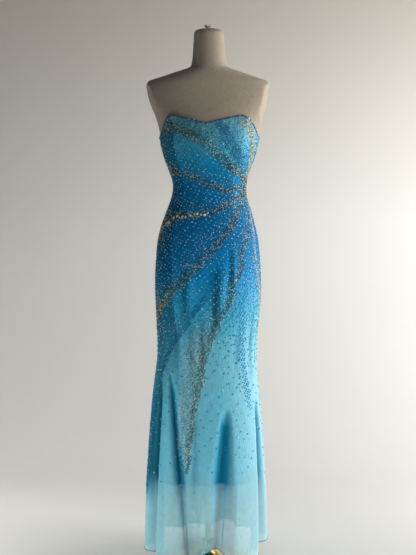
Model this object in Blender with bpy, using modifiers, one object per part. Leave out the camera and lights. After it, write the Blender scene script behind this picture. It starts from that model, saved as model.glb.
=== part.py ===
"""A strapless mermaid evening dress on a limbless dress form with a round brass stand.

Metres, +Z up. The origin is on the floor under the pole. The centre front faces -Y.
Angles round the body are in degrees from the centre front, positive towards +X.

The dress is cut in seven full-length panels joined by princess, side and centre back
seams, over a shorter lining that hangs inside the skirt. A zip closes the centre back.
"""

import math
from collections import namedtuple

import bpy
from mathutils import Vector

# ---------------------------------------------------------------- driving dimensions
HEM_HEIGHT = 0.060
BODICE_FOOT = 1.250  # above this height the rows of a panel lean with the neckline
BUST_HEIGHT = 1.335
WALL = 0.0015  # the outer cloth with its beading
LINING_WALL = 0.0010
SEAM_GAP = 0.00045
FORM_GAP = 0.0008  # between the cloth and the dress form
CONTACT_GAP = 0.0003  # between other pieces that rest on each other
ROUNDNESS = 2.25  # exponent of the body's rings: 2 is an ellipse

# The bust cups push the front of the rings out.
CUP_OUT = 0.022
CUP_HALF_ANGLE = 62.0
CUP_RISE = 0.075
CUP_DROP = 0.062

# Rings of the cloth's outline, and above the neckline of the dress form in the same terms.
# side_cut is where the flat arm plates cut the ring, and it equals half_width elsewhere.
Section = namedtuple("Section", "height half_width front back side_cut centre_x")
SECTIONS = [
    Section(*row)
    for row in (
        (1.657, 0.0475, 0.0470, 0.0470, 0.0475, 0.003),
        (1.600, 0.0512, 0.0510, 0.0530, 0.0512, 0.003),
        (1.566, 0.0550, 0.0560, 0.0590, 0.0550, 0.003),
        (1.552, 0.0640, 0.0600, 0.0660, 0.0640, 0.003),
        (1.540, 0.1000, 0.0640, 0.0730, 0.1000, 0.002),
        (1.525, 0.1435, 0.0680, 0.0800, 0.1435, 0.001),
        (1.510, 0.1870, 0.0710, 0.0850, 0.1845, 0.000),
        (1.480, 0.2110, 0.0760, 0.0920, 0.1865, -0.001),
        (1.445, 0.2035, 0.0830, 0.0970, 0.1800, 0.001),
        (1.403, 0.1760, 0.0910, 0.1000, 0.1660, 0.004),
        (1.364, 0.1560, 0.0960, 0.1000, 0.1560, 0.005),
        (1.335, 0.1510, 0.0970, 0.0980, 0.1510, 0.004),
        (1.303, 0.1442, 0.0960, 0.0950, 0.1442, 0.004),
        (1.273, 0.1355, 0.0950, 0.0920, 0.1355, 0.004),
        (1.242, 0.1236, 0.0920, 0.0885, 0.1236, 0.004),
        (1.212, 0.1142, 0.0880, 0.0860, 0.1142, 0.005),
        (1.187, 0.1115, 0.0860, 0.0860, 0.1115, 0.005),
        (1.155, 0.1162, 0.0870, 0.0900, 0.1162, 0.004),
        (1.120, 0.1280, 0.0910, 0.1000, 0.1280, 0.003),
        (1.080, 0.1410, 0.0970, 0.1140, 0.1410, 0.001),
        (1.030, 0.1535, 0.1030, 0.1260, 0.1535, 0.000),
        (0.970, 0.1595, 0.1070, 0.1310, 0.1595, 0.000),
        (0.912, 0.1628, 0.1090, 0.1280, 0.1628, 0.000),
        (0.855, 0.1625, 0.1100, 0.1210, 0.1625, 0.000),
        (0.790, 0.1590, 0.1100, 0.1150, 0.1590, -0.001),
        (0.720, 0.1550, 0.1090, 0.1110, 0.1550, -0.003),
        (0.665, 0.1545, 0.1110, 0.1120, 0.1545, -0.004),
        (0.609, 0.1594, 0.1170, 0.1200, 0.1594, -0.006),
        (0.552, 0.1655, 0.1260, 0.1320, 0.1655, -0.007),
        (0.501, 0.1704, 0.1340, 0.1430, 0.1704, -0.007),
        (0.434, 0.1766, 0.1440, 0.1570, 0.1766, -0.007),
        (0.295, 0.1865, 0.1600, 0.1830, 0.1865, -0.007),
        (0.194, 0.1915, 0.1690, 0.1980, 0.1915, -0.007),
        (HEM_HEIGHT, 0.1960, 0.1780, 0.2120, 0.1960, -0.008),
    )
]
PLATE_SLANT = 0.30  # the arm plates turn a little to the front
PLATE_FULL_CUT = 0.015

# Heights of the panels' rows under the bodice, and the number of rows that lean in it.
BODICE_ROWS = 5
BODY_ROWS = (
    1.250, 1.215, 1.187, 1.155, 1.120, 1.080, 1.030, 0.970, 0.912, 0.855, 0.790, 0.720,
    0.665, 0.609, 0.552, 0.495, 0.434, 0.365, 0.295, 0.220, 0.140, HEM_HEIGHT,
)
FORM_ROWS_TO_SHOULDER = 3

# The neckline: a shallow sweetheart in front, lower and level across the back. Its dip lies a
# little to the left of the centre front.
NECK_TURN = 2.5
NeckPoint = namedtuple("NeckPoint", "angle height")
NECKLINE = [
    NeckPoint(*row)
    for row in (
        (0, 1.3865), (12, 1.3970), (23, 1.4045), (33, 1.4090), (41, 1.4000), (52, 1.3830),
        (66, 1.3630), (78, 1.3460), (92, 1.3400), (120, 1.3350), (150, 1.3300), (180, 1.3270),
    )
]

# Folds of the flared skirt. Each valley lies between its ridge and the next one, and a ridge
# swings from its angle at the knee to its angle at the hem.
Fold = namedtuple("Fold", "knee_angle hem_angle valley_depth start sharpness")
FOLDS = [
    Fold(*row)
    for row in (
        (-78, -76, 0.042, 0.640, 2.2),
        (-42, -29, 0.036, 0.600, 2.2),
        (2, -3, 0.036, 0.600, 2.0),
        (40, 35, 0.042, 0.640, 2.2),
        (84, 90, 0.034, 0.620, 2.2),
        (128, 128, 0.034, 0.600, 2.0),
        (160, 160, 0.034, 0.620, 2.0),
        (190, 190, 0.034, 0.640, 2.0),
        (222, 220, 0.036, 0.620, 2.0),
        (254, 252, 0.036, 0.600, 2.2),
    )
]
FOLD_GROWTH = 0.85  # how a valley deepens from its start down to the hem
KNEE_HEIGHT = 0.620

# Seam routes from the neckline to the hem.
SeamPoint = namedtuple("SeamPoint", "height angle")
SEAMS = {
    "princess_left": ((1.41, -37), (1.187, -42), (0.97, -42), (0.72, -33), (0.56, -26), (HEM_HEIGHT, -16)),
    "princess_right": ((1.41, 36), (1.187, 34), (0.97, 26), (0.72, 25), (0.50, 22), (HEM_HEIGHT, 16)),
    "side_right": ((1.41, 90), (0.72, 90), (0.56, 99), (HEM_HEIGHT, 109)),
    "back_right": ((1.41, 146), (1.187, 150), (0.72, 147), (HEM_HEIGHT, 144)),
    "centre_back": ((1.41, 180), (0.96, 180), (0.86, 180), (0.56, 177), (HEM_HEIGHT, 175)),
    "back_left": ((1.41, 214), (1.187, 210), (0.72, 207), (HEM_HEIGHT, 205)),
    "side_left": ((1.41, 270), (HEM_HEIGHT, 268)),
}
Panel = namedtuple("Panel", "name left_seam right_seam columns")
PANELS = [
    Panel(*row)
    for row in (
        ("front_centre_panel", "princess_left", "princess_right", 12),
        ("front_side_panel_right", "princess_right", "side_right", 10),
        ("back_side_panel_right", "side_right", "back_right", 10),
        ("back_centre_panel_right", "back_right", "centre_back", 6),
        ("back_centre_panel_left", "centre_back", "back_left", 7),
        ("back_side_panel_left", "back_left", "side_left", 9),
        ("front_side_panel_left", "side_left", "princess_left", 10),
    )
]

# The binding along the neckline.
EDGING_WIDTH = 0.0052
EDGING_STAND = 0.0006  # how far it stands above the panels' edge
EDGING_WALL = 0.0010
EDGING_GAP = 0.0005  # between it and the panels

# The lining: a plain tube under the skirt, with shallower folds, seamed at the sides and back.
LINING_HEIGHTS = (0.845, 0.790, 0.720, 0.665, 0.609, 0.552, 0.495, 0.434, 0.365, 0.288)
LINING_GAP = 0.0005  # at its top edge, where it is sewn to the panels
LINING_HEM_INSET = 0.013
LINING_FOLD_SHARE = 0.7
LiningPart = namedtuple("LiningPart", "name start span columns")
LINING_PARTS = [
    LiningPart(*row)
    for row in (
        ("lining_front", -90, 180, 30),
        ("lining_back_right", 90, 90, 15),
        ("lining_back_left", 180, 90, 15),
    )
]

# The centre back zip.
ZIP_HALF_WIDTH = 0.003
ZIP_FULL_TO = 1.030
ZIP_FOOT = 0.970
ZIP_TAPE_TOP_INSET = 0.005
ZIP_TAPE_FOOT = 0.982
ZIP_CLEARANCE = 0.0003
SLIDER_HEIGHT = 1.306
SLIDER_WIDTH = 0.0054
SLIDER_LENGTH = 0.0090
SLIDER_DEPTH = 0.0018
CROWN_WIDTH = 0.0020
CROWN_LENGTH = 0.0056
CROWN_DEPTH = 0.0030
EYE_LENGTH = 0.0030  # the opening in the crown for the pull's bar
EYE_DEPTH = 0.0018
PULL_THICKNESS = 0.0008
PULL_BAR = 0.0010
PULL_HALF_WIDTH = 0.0026
PULL_HALF_HOLE = 0.0015
PULL_HOLE_LENGTH = 0.0034
PULL_LENGTH = 0.0240

# The dress form and its stand.
FORM_COLUMNS = 40
FORM_BOTTOM = 0.855
FORM_BOTTOM_ROUNDING = 0.012
NECK_CAP_RISE = 0.011
POLE_RADIUS = 0.010
FLANGE_RADIUS = 0.045
FLANGE_THICKNESS = 0.005
BASE_RADIUS = 0.140
BASE_EDGE = 0.007
BASE_DOME_HEIGHT = 0.030
COLLAR_RADIUS = 0.018
COLLAR_TOP = 0.075
TURNED_STEPS = 40

# ---------------------------------------------------------------- materials
Finish = namedtuple("Finish", "colour roughness metallic")
FINISHES = {
    "beaded_chiffon": Finish((0.03, 0.24, 0.55, 1), 0.55, 0.0),
    "lining_satin": Finish((0.10, 0.42, 0.62, 1), 0.45, 0.0),
    "edging_satin": Finish((0.02, 0.20, 0.36, 1), 0.40, 0.0),
    "form_jersey": Finish((0.50, 0.44, 0.36, 1), 0.90, 0.0),
    "brass": Finish((0.72, 0.52, 0.22, 1), 0.22, 1.0),
    "zip_nylon": Finish((0.04, 0.30, 0.55, 1), 0.50, 0.0),
    "zip_enamel": Finish((0.05, 0.32, 0.58, 1), 0.35, 0.2),
}


def material(name):
    found = bpy.data.materials.get(name)
    if found:
        return found
    finish = FINISHES[name]
    made = bpy.data.materials.new(name)
    made.use_nodes = True
    shader = made.node_tree.nodes["Principled BSDF"]
    shader.inputs["Base Color"].default_value = finish.colour
    shader.inputs["Roughness"].default_value = finish.roughness
    shader.inputs["Metallic"].default_value = finish.metallic
    made.diffuse_color = finish.colour
    return made


# ---------------------------------------------------------------- scene helpers
def new_collection(name):
    made = bpy.data.collections.new(name)
    bpy.context.scene.collection.children.link(made)
    return made


def add_object(name, data, finish, collection):
    made = bpy.data.objects.new(name, data)
    collection.objects.link(made)
    if finish:
        made.data.materials.append(material(finish))
    return made


def grid_mesh(name, rows, closed=False):
    """A loft: quads between rows of points, seen from outside with the rows running down."""
    count = len(rows[0])
    points = [point for row in rows for point in row]
    steps = range(count if closed else count - 1)
    faces = []
    for upper in range(len(rows) - 1):
        for step in steps:
            left, right = step, (step + 1) % count
            faces.append(
                (
                    upper * count + left,
                    (upper + 1) * count + left,
                    (upper + 1) * count + right,
                    upper * count + right,
                )
            )
    mesh = bpy.data.meshes.new(name)
    mesh.from_pydata([tuple(point) for point in points], [], faces)
    mesh.update()
    return mesh


def add_wall(obj, thickness):
    """The cloth's thickness, inwards from its outer face."""
    wall = obj.modifiers.new("wall", "SOLIDIFY")
    wall.thickness = thickness
    wall.offset = -1.0
    wall.use_rim = True


def shade(obj, angle=40.0):
    obj.data.shade_smooth()
    obj.data.set_sharp_from_angle(angle=math.radians(angle))


# ---------------------------------------------------------------- shape of the cloth
def smooth_value(rows, along, column, at):
    """A table's column at a place, on a smooth curve through the rows."""
    places = [getattr(row, along) for row in rows]
    values = [getattr(row, column) for row in rows]
    if places[0] > places[-1]:
        places.reverse()
        values.reverse()
    if at <= places[0]:
        return values[0]
    if at >= places[-1]:
        return values[-1]
    i = max(k for k in range(len(places) - 1) if places[k] <= at)

    def slope(k):
        before, after = max(k - 1, 0), min(k + 1, len(places) - 1)
        return (values[after] - values[before]) / (places[after] - places[before])

    span = places[i + 1] - places[i]
    t = (at - places[i]) / span
    return (
        (2 * t**3 - 3 * t**2 + 1) * values[i]
        + (t**3 - 2 * t**2 + t) * span * slope(i)
        + (3 * t**2 - 2 * t**3) * values[i + 1]
        + (t**3 - t**2) * span * slope(i + 1)
    )


def neckline_height(angle):
    turn = abs((angle + NECK_TURN + 180) % 360 - 180)
    return smooth_value(NECKLINE, "angle", "height", turn)


def seam_angle(seam, height):
    rows = [SeamPoint(*row) for row in SEAMS[seam]]
    return smooth_value(rows, "height", "angle", height)


def cup_push(angle, height):
    """How far the bust cups hold the cloth out, most at the front of the bust."""
    turn = abs((angle + 180) % 360 - 180)
    if turn >= CUP_HALF_ANGLE:
        return 0.0
    reach = CUP_RISE if height > BUST_HEIGHT else CUP_DROP
    across = math.cos(math.pi / 2 * turn / CUP_HALF_ANGLE)
    return CUP_OUT * across * math.exp(-(((height - BUST_HEIGHT) / reach) ** 2))


def ridge_angle(fold, height):
    share = min(1.0, max(0.0, (KNEE_HEIGHT - height) / (KNEE_HEIGHT - HEM_HEIGHT)))
    return fold.knee_angle + (fold.hem_angle - fold.knee_angle) * share


def fold_fall(angle, height):
    """How far the cloth falls inside its outline: nothing on a ridge, most in a valley."""
    for fold, following in zip(FOLDS, FOLDS[1:] + FOLDS[:1]):
        ridge = ridge_angle(fold, height)
        span = (ridge_angle(following, height) - ridge) % 360
        along = ((angle - ridge) % 360) / span
        if along < 1 and height < fold.start:
            growth = (fold.start - height) / (fold.start - HEM_HEIGHT)
            across = math.sin(math.pi * along) ** fold.sharpness
            return fold.valley_depth * growth**FOLD_GROWTH * across
    return 0.0


def round_power(value):
    return math.copysign(abs(value) ** (2 / ROUNDNESS), value)


def body_point(angle, height, inset=0.0, fold_share=1.0):
    """A point of the cloth's outer face, or of what lies inside it by the inset."""
    ring = {
        column: smooth_value(SECTIONS, "height", column, height)
        for column in Section._fields[1:]
    }
    turn = math.radians(angle)
    side, ahead = math.sin(turn), math.cos(turn)
    depth = ring["front"] if ahead > 0 else ring["back"]
    out = Vector((depth * side, -ring["half_width"] * ahead, 0)).normalized()
    push = cup_push(angle, height) - fold_fall(angle, height) * fold_share - inset
    point = Vector((ring["half_width"] * round_power(side), -depth * round_power(ahead), 0))
    point += out * push
    cut = ring["half_width"] - ring["side_cut"]
    if cut > 0.0005:
        slant = PLATE_SLANT * min(1.0, cut / PLATE_FULL_CUT)
        plate = ring["side_cut"] - inset + slant * min(point.y, 0.0)
        point.x = max(-plate, min(plate, point.x))
    return Vector((point.x + ring["centre_x"], point.y, height))


def turn_for(angle, height, distance):
    """The turn from an angle that moves a point this distance round its ring."""
    start = body_point(angle, height)
    turn = math.degrees(distance / 0.12)
    for _ in range(5):
        moved = (body_point(angle + turn, height) - start).length
        turn *= abs(distance) / moved
    return turn


def panel_heights(angle):
    """Heights down a panel at an angle: leaning rows in the bodice, then level ones."""
    top = neckline_height(angle)
    lean = [
        top + (BODICE_FOOT - top) * row / BODICE_ROWS for row in range(BODICE_ROWS)
    ]
    return lean + list(BODY_ROWS)


# ---------------------------------------------------------------- the dress
def zip_half_opening(height):
    """Half the width between the centre back panels where the zip lies."""
    if height >= ZIP_FULL_TO:
        return ZIP_HALF_WIDTH
    return ZIP_HALF_WIDTH * max(0.0, (height - ZIP_FOOT) / (ZIP_FULL_TO - ZIP_FOOT))


def seam_edge(seam, height, towards):
    """The angle of a panel's edge: its seam less the gap, and less the zip at the back."""
    angle = seam_angle(seam, height)
    half_gap = SEAM_GAP / 2
    if seam == "centre_back" and zip_half_opening(height) > 0:
        half_gap = zip_half_opening(height) + SEAM_GAP
    return angle + turn_for(angle, height, towards * half_gap)


def panel_row(panel, row):
    """The (angle, height) places along one row of a panel."""
    places = []
    for column in range(panel.columns + 1):
        share = column / panel.columns
        height = panel_heights(seam_angle(panel.left_seam, BODICE_FOOT))[row]
        for _ in range(3):  # the row's height and the seams' angles depend on each other
            left = seam_edge(panel.left_seam, height, 1)
            right = seam_edge(panel.right_seam, height, -1)
            angle = left + ((right - left) % 360) * share
            height = panel_heights(angle)[row]
        places.append((angle, height))
    return places


def add_panels(dress):
    for panel in PANELS:
        rows = [
            [body_point(angle, height) for angle, height in panel_row(panel, row)]
            for row in range(BODICE_ROWS + len(BODY_ROWS))
        ]
        obj = add_object(panel.name, grid_mesh(panel.name, rows), "beaded_chiffon", dress)
        shade(obj)
        add_wall(obj, WALL)


def add_neckline_edging(dress):
    """A narrow binding that lies on the panels' top edge, from one side of the zip to the other."""
    first = next(i for i, panel in enumerate(PANELS) if panel.left_seam == "centre_back")
    top_row = []
    next_row = []
    for panel in PANELS[first:] + PANELS[:first]:
        shared = 1 if top_row else 0  # one point serves both panels at a seam
        top_row += panel_row(panel, 0)[shared:]
        next_row += panel_row(panel, 1)[shared:]
    rows = [[], []]
    for top, below in zip(top_row, next_row):
        edge = body_point(*top)
        down = (body_point(*below) - edge).normalized()
        lift = body_point(*top, inset=-(EDGING_GAP + EDGING_WALL)) - edge
        rows[0].append(edge + lift - down * EDGING_STAND)
        rows[1].append(edge + lift + down * EDGING_WIDTH)
    obj = add_object("neckline_edging", grid_mesh("neckline_edging", rows), "edging_satin", dress)
    shade(obj)
    add_wall(obj, EDGING_WALL)


def lining_point(angle, height):
    top, hem = LINING_HEIGHTS[0], LINING_HEIGHTS[-1]
    sewn = WALL + LINING_GAP
    inset = sewn + (LINING_HEM_INSET - sewn) * (top - height) / (top - hem)
    return body_point(angle, height, inset, LINING_FOLD_SHARE)


def add_lining(dress):
    for part in LINING_PARTS:
        rows = []
        for height in LINING_HEIGHTS:
            first = part.start + turn_for(part.start, height, SEAM_GAP / 2)
            end = part.start + part.span
            last = end + turn_for(end, height, -SEAM_GAP / 2)
            rows.append(
                [
                    lining_point(first + (last - first) * column / part.columns, height)
                    for column in range(part.columns + 1)
                ]
            )
        obj = add_object(part.name, grid_mesh(part.name, rows), "lining_satin", dress)
        shade(obj)
        add_wall(obj, LINING_WALL)


# ---------------------------------------------------------------- the centre back zip
def add_box(name, size, finish, collection):
    bpy.ops.mesh.primitive_cube_add(size=1)
    obj = bpy.context.object
    obj.name = obj.data.name = name
    for point in obj.data.vertices:
        point.co = Vector(a * b for a, b in zip(point.co, size))
    for holder in list(obj.users_collection):
        holder.objects.unlink(obj)
    collection.objects.link(obj)
    if finish:
        obj.data.materials.append(material(finish))
    else:
        obj.hide_render = True
        obj.display_type = "WIRE"
    return obj


def add_boolean(obj, tool, operation):
    cut = obj.modifiers.new(tool.name, "BOOLEAN")
    cut.operation = operation
    cut.object = tool


def add_zip_tape(dress):
    beside = [height for height in panel_heights(180) if height >= ZIP_FULL_TO]
    rows = []
    for height in [beside[0] - ZIP_TAPE_TOP_INSET] + beside[1:] + [ZIP_TAPE_FOOT]:
        centre = seam_angle("centre_back", height)
        reach = turn_for(centre, height, zip_half_opening(height))
        rows.append([body_point(centre + side * reach, height) for side in (-1, 0, 1)])
    obj = add_object("zip_tape", grid_mesh("zip_tape", rows), "zip_nylon", dress)
    add_wall(obj, WALL)


def add_slider_and_pull(dress, cutters):
    """The slider lies on the tape. Its crown holds the bar of the pull, which swings."""
    centre = seam_angle("centre_back", SLIDER_HEIGHT)
    above = body_point(centre, SLIDER_HEIGHT + SLIDER_LENGTH / 2)
    below = body_point(centre, SLIDER_HEIGHT - SLIDER_LENGTH / 2)
    lean = math.atan2(above.y - below.y, above.z - below.z)
    seat = bpy.data.objects.new("zip_seat", None)
    dress.objects.link(seat)
    seat.location = (above + below) / 2
    seat.rotation_euler.x = -lean

    body_out = ZIP_CLEARANCE + SLIDER_DEPTH / 2
    crown_out = ZIP_CLEARANCE + SLIDER_DEPTH - CONTACT_GAP + CROWN_DEPTH / 2
    eye_out = ZIP_CLEARANCE + SLIDER_DEPTH + EYE_DEPTH / 2
    slider = add_box(
        "zip_slider", (SLIDER_WIDTH, SLIDER_DEPTH, SLIDER_LENGTH), "zip_enamel", dress
    )
    crown = add_box("crown_block", (CROWN_WIDTH, CROWN_DEPTH, CROWN_LENGTH), None, cutters)
    eye = add_box("crown_eye", (2 * CROWN_WIDTH, EYE_DEPTH, EYE_LENGTH), None, cutters)
    for obj, out in ((slider, body_out), (crown, crown_out), (eye, eye_out)):
        obj.parent = seat
        obj.location = (0, out, 0)
    add_boolean(slider, crown, "UNION")
    add_boolean(slider, eye, "DIFFERENCE")

    bpy.context.view_layer.update()
    pull = add_object("zip_pull", pull_outline(), "zip_enamel", dress)
    pull.location = seat.matrix_world @ Vector((0, eye_out, 0))
    pull.rotation_euler.x = math.radians(90)


def pull_outline():
    """A slim drop with a square eye. Its bar's centre is the curve's origin."""
    curve = bpy.data.curves.new("zip_pull", "CURVE")
    curve.dimensions = "2D"
    curve.fill_mode = "BOTH"
    curve.extrude = PULL_THICKNESS / 2
    top = PULL_BAR / 2
    tip = top - PULL_LENGTH
    hole_top = -PULL_BAR / 2
    hole_foot = hole_top - PULL_HOLE_LENGTH
    neck = hole_foot - PULL_BAR
    outer = (
        (-PULL_HALF_WIDTH, top),
        (-PULL_HALF_WIDTH, neck),
        (-PULL_HALF_WIDTH * 0.62, neck - 0.004),
        (-PULL_HALF_WIDTH, tip + 0.004),
        (-PULL_HALF_WIDTH * 0.6, tip),
        (PULL_HALF_WIDTH * 0.6, tip),
        (PULL_HALF_WIDTH, tip + 0.004),
        (PULL_HALF_WIDTH * 0.62, neck - 0.004),
        (PULL_HALF_WIDTH, neck),
        (PULL_HALF_WIDTH, top),
    )
    hole = (
        (-PULL_HALF_HOLE, hole_top),
        (PULL_HALF_HOLE, hole_top),
        (PULL_HALF_HOLE, hole_foot),
        (-PULL_HALF_HOLE, hole_foot),
    )
    for outline in (outer, hole):
        spline = curve.splines.new("POLY")
        spline.points.add(len(outline) - 1)
        for point, (x, y) in zip(spline.points, outline):
            point.co = (x, y, 0, 1)
        spline.use_cyclic_u = True
    return curve


# ---------------------------------------------------------------- the dress form
def form_heights(angle):
    """Heights down the form: neck and shoulders, then the same rows as the cloth."""
    bare = [row.height for row in SECTIONS if row.height > 1.42]
    top, shoulder = neckline_height(angle), bare[-1]
    steps = FORM_ROWS_TO_SHOULDER
    rise = [top + (shoulder - top) * step / steps for step in range(steps - 1, 0, -1)]
    covered = [height for height in panel_heights(angle) if height > FORM_BOTTOM]
    return bare + rise + covered + [FORM_BOTTOM + FORM_BOTTOM_ROUNDING]


def add_form(stand):
    inset = WALL + FORM_GAP
    angles = [360 * column / FORM_COLUMNS for column in range(FORM_COLUMNS)]
    columns = []
    for angle in angles:
        heights = form_heights(angle)
        column = [body_point(angle, height, inset) for height in heights]
        foot = body_point(angle, FORM_BOTTOM, inset + FORM_BOTTOM_ROUNDING)
        rim = column[0]
        centre = Vector((SECTIONS[0].centre_x, 0, 0))
        flat = Vector((rim.x, rim.y, 0)) - centre
        shoulder = centre + flat * 0.86 + Vector((0, 0, rim.z + NECK_CAP_RISE * 0.62))
        crown = centre + flat * 0.45 + Vector((0, 0, rim.z + NECK_CAP_RISE))
        columns.append([crown, shoulder] + column + [foot])
    rows = [[column[row] for column in columns] for row in range(len(columns[0]))]
    mesh = grid_mesh("dress_form", rows, closed=True)
    mesh = close_ends(mesh, len(rows), FORM_COLUMNS)
    shade(add_object("dress_form", mesh, "form_jersey", stand), 30)


def close_ends(mesh, row_count, count):
    """The same loft with a flat cap on its first and last rows."""
    points = [tuple(point.co) for point in mesh.vertices]
    faces = [tuple(face.vertices) for face in mesh.polygons]
    last = (row_count - 1) * count
    faces.append(tuple(range(count)))
    faces.append(tuple(last + step for step in reversed(range(count))))
    closed = bpy.data.meshes.new(mesh.name)
    closed.from_pydata(points, [], faces)
    closed.update()
    bpy.data.meshes.remove(mesh)
    return closed


def add_turned(name, profile, collection):
    """A profile of (radius, height) pairs, top to bottom, turned about the pole's axis."""
    mesh = bpy.data.meshes.new(name)
    points = [(radius, 0, height) for radius, height in profile]
    mesh.from_pydata(points, [(i, i + 1) for i in range(len(points) - 1)], [])
    obj = add_object(name, mesh, "brass", collection)
    turn = obj.modifiers.new("turn", "SCREW")
    turn.steps = turn.render_steps = TURNED_STEPS
    turn.use_merge_vertices = True
    turn.merge_threshold = 0.0001
    turn.use_smooth_shade = True
    return obj


def add_stand(stand):
    flange_top = FORM_BOTTOM - CONTACT_GAP
    pole_foot = COLLAR_TOP + CONTACT_GAP
    add_turned(
        "pole",
        (
            (0, flange_top),
            (FLANGE_RADIUS, flange_top),
            (FLANGE_RADIUS, flange_top - FLANGE_THICKNESS),
            (POLE_RADIUS * 1.6, flange_top - FLANGE_THICKNESS * 1.6),
            (POLE_RADIUS * 1.6, flange_top - 0.045),
            (POLE_RADIUS, flange_top - 0.048),
            (POLE_RADIUS, pole_foot),
            (0, pole_foot),
        ),
        stand,
    )
    bell = [
        (COLLAR_RADIUS + (BASE_RADIUS - COLLAR_RADIUS) * t**1.5 * 0.93, height)
        for t, height in (
            (0.0, COLLAR_TOP - 0.022),
            (0.22, BASE_DOME_HEIGHT * 0.98),
            (0.45, BASE_DOME_HEIGHT * 0.66),
            (0.75, BASE_DOME_HEIGHT * 0.40),
            (1.0, BASE_EDGE * 1.25),
        )
    ]
    add_turned(
        "round_base",
        [
            (0, COLLAR_TOP),
            (COLLAR_RADIUS - 0.002, COLLAR_TOP),
            (COLLAR_RADIUS, COLLAR_TOP - 0.002),
            *bell,
            (BASE_RADIUS, BASE_EDGE * 0.75),
            (BASE_RADIUS, BASE_EDGE * 0.20),
            (BASE_RADIUS - BASE_EDGE * 0.2, 0),
            (0, 0),
        ],
        stand,
    )


def main():
    for obj in list(bpy.data.objects):
        bpy.data.objects.remove(obj, do_unlink=True)
    dress = new_collection("mermaid_evening_dress")
    stand = new_collection("dress_form_and_stand")
    cutters = new_collection("cutters")
    add_panels(dress)
    add_neckline_edging(dress)
    add_lining(dress)
    add_zip_tape(dress)
    add_slider_and_pull(dress, cutters)
    add_form(stand)
    add_stand(stand)


main()
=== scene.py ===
"""Looks of the beaded mermaid evening dress on its dress form.

Metres, +Z up, the centre front faces -Y. Angles round the body are in degrees from the centre
front, positive towards +X. The cloth, beads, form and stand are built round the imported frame.
"""

import math

import bmesh
import bpy
import numpy as np
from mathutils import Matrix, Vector


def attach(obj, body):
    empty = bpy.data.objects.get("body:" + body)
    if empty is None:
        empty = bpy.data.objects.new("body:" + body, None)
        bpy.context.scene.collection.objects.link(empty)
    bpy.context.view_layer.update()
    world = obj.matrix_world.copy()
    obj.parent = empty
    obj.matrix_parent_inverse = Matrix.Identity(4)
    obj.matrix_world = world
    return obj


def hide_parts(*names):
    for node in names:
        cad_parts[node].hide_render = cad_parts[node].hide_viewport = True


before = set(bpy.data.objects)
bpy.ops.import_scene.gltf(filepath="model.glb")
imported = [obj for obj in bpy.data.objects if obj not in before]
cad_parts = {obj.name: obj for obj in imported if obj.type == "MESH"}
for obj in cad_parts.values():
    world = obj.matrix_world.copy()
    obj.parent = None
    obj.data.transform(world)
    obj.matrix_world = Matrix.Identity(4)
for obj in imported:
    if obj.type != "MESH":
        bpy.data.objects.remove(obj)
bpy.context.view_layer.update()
rng = np.random.default_rng(71)

GOWN = "gown_and_form"

# -------- sizes shared with the solids
HEM_HEIGHT = 0.06
BODICE_FOOT = 1.25
BUST_HEIGHT = 1.335
FORM_GAP = 0.0023
ROUNDNESS = 2.25
CUP_OUT = 0.022
CUP_HALF_ANGLE = 62.0
CUP_RISE = 0.075
CUP_DROP = 0.062
PLATE_SLANT = 0.3
PLATE_FULL_CUT = 0.015
NECK_TURN = 2.5
LINING_TOP = 0.845
LINING_HEM = 0.288
LINING_SEWN = 0.002
LINING_HEM_INSET = 0.013
LINING_FOLD_SHARE = 0.7
ZIP_HALF_WIDTH = 0.003
ZIP_FULL_TO = 1.03
ZIP_FOOT = 0.97

# height, half width, front depth, back depth, centre
SECTIONS = np.array(
    [
        (1.657, 0.0475, 0.047, 0.047, 0.003), (1.6, 0.0512, 0.051, 0.053, 0.003),
        (1.566, 0.055, 0.056, 0.059, 0.003), (1.552, 0.064, 0.06, 0.066, 0.003),
        (1.54, 0.1, 0.064, 0.073, 0.002), (1.525, 0.1435, 0.068, 0.08, 0.001),
        (1.51, 0.187, 0.071, 0.085, 0.0), (1.48, 0.211, 0.076, 0.092, -0.001),
        (1.445, 0.2035, 0.083, 0.097, 0.001), (1.403, 0.176, 0.091, 0.1, 0.004),
        (1.364, 0.156, 0.096, 0.1, 0.005), (1.335, 0.151, 0.097, 0.098, 0.004),
        (1.303, 0.1442, 0.096, 0.095, 0.004), (1.273, 0.1355, 0.095, 0.092, 0.004),
        (1.242, 0.1236, 0.092, 0.0885, 0.004), (1.212, 0.1142, 0.088, 0.086, 0.005),
        (1.187, 0.1115, 0.086, 0.086, 0.005), (1.155, 0.1162, 0.087, 0.09, 0.004),
        (1.12, 0.128, 0.091, 0.1, 0.003), (1.08, 0.141, 0.097, 0.114, 0.001),
        (1.03, 0.1535, 0.103, 0.126, 0.0), (0.97, 0.1595, 0.107, 0.131, 0.0),
        (0.912, 0.1628, 0.109, 0.128, 0.0), (0.855, 0.1625, 0.11, 0.121, 0.0),
        (0.79, 0.159, 0.11, 0.115, -0.001), (0.72, 0.155, 0.109, 0.111, -0.003),
        (0.665, 0.1545, 0.111, 0.112, -0.004), (0.609, 0.1594, 0.117, 0.12, -0.006),
        (0.552, 0.1655, 0.126, 0.132, -0.007), (0.501, 0.1704, 0.134, 0.143, -0.007),
        (0.434, 0.1766, 0.144, 0.157, -0.007), (0.295, 0.1865, 0.16, 0.183, -0.007),
        (0.194, 0.1915, 0.169, 0.198, -0.007), (HEM_HEIGHT, 0.196, 0.178, 0.212, -0.008),
    ]
)
HEIGHTS, HALF_WIDTH, FRONT, BACK, CENTRE_X = SECTIONS.T
# Half width to the flat arm plates, at the heights where they cut the full half width.
PLATES = {1.51: 0.1845, 1.48: 0.1865, 1.445: 0.18, 1.403: 0.166}
SIDE_CUT = np.array([PLATES.get(height, width) for height, width in SECTIONS[:, :2]])

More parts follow.
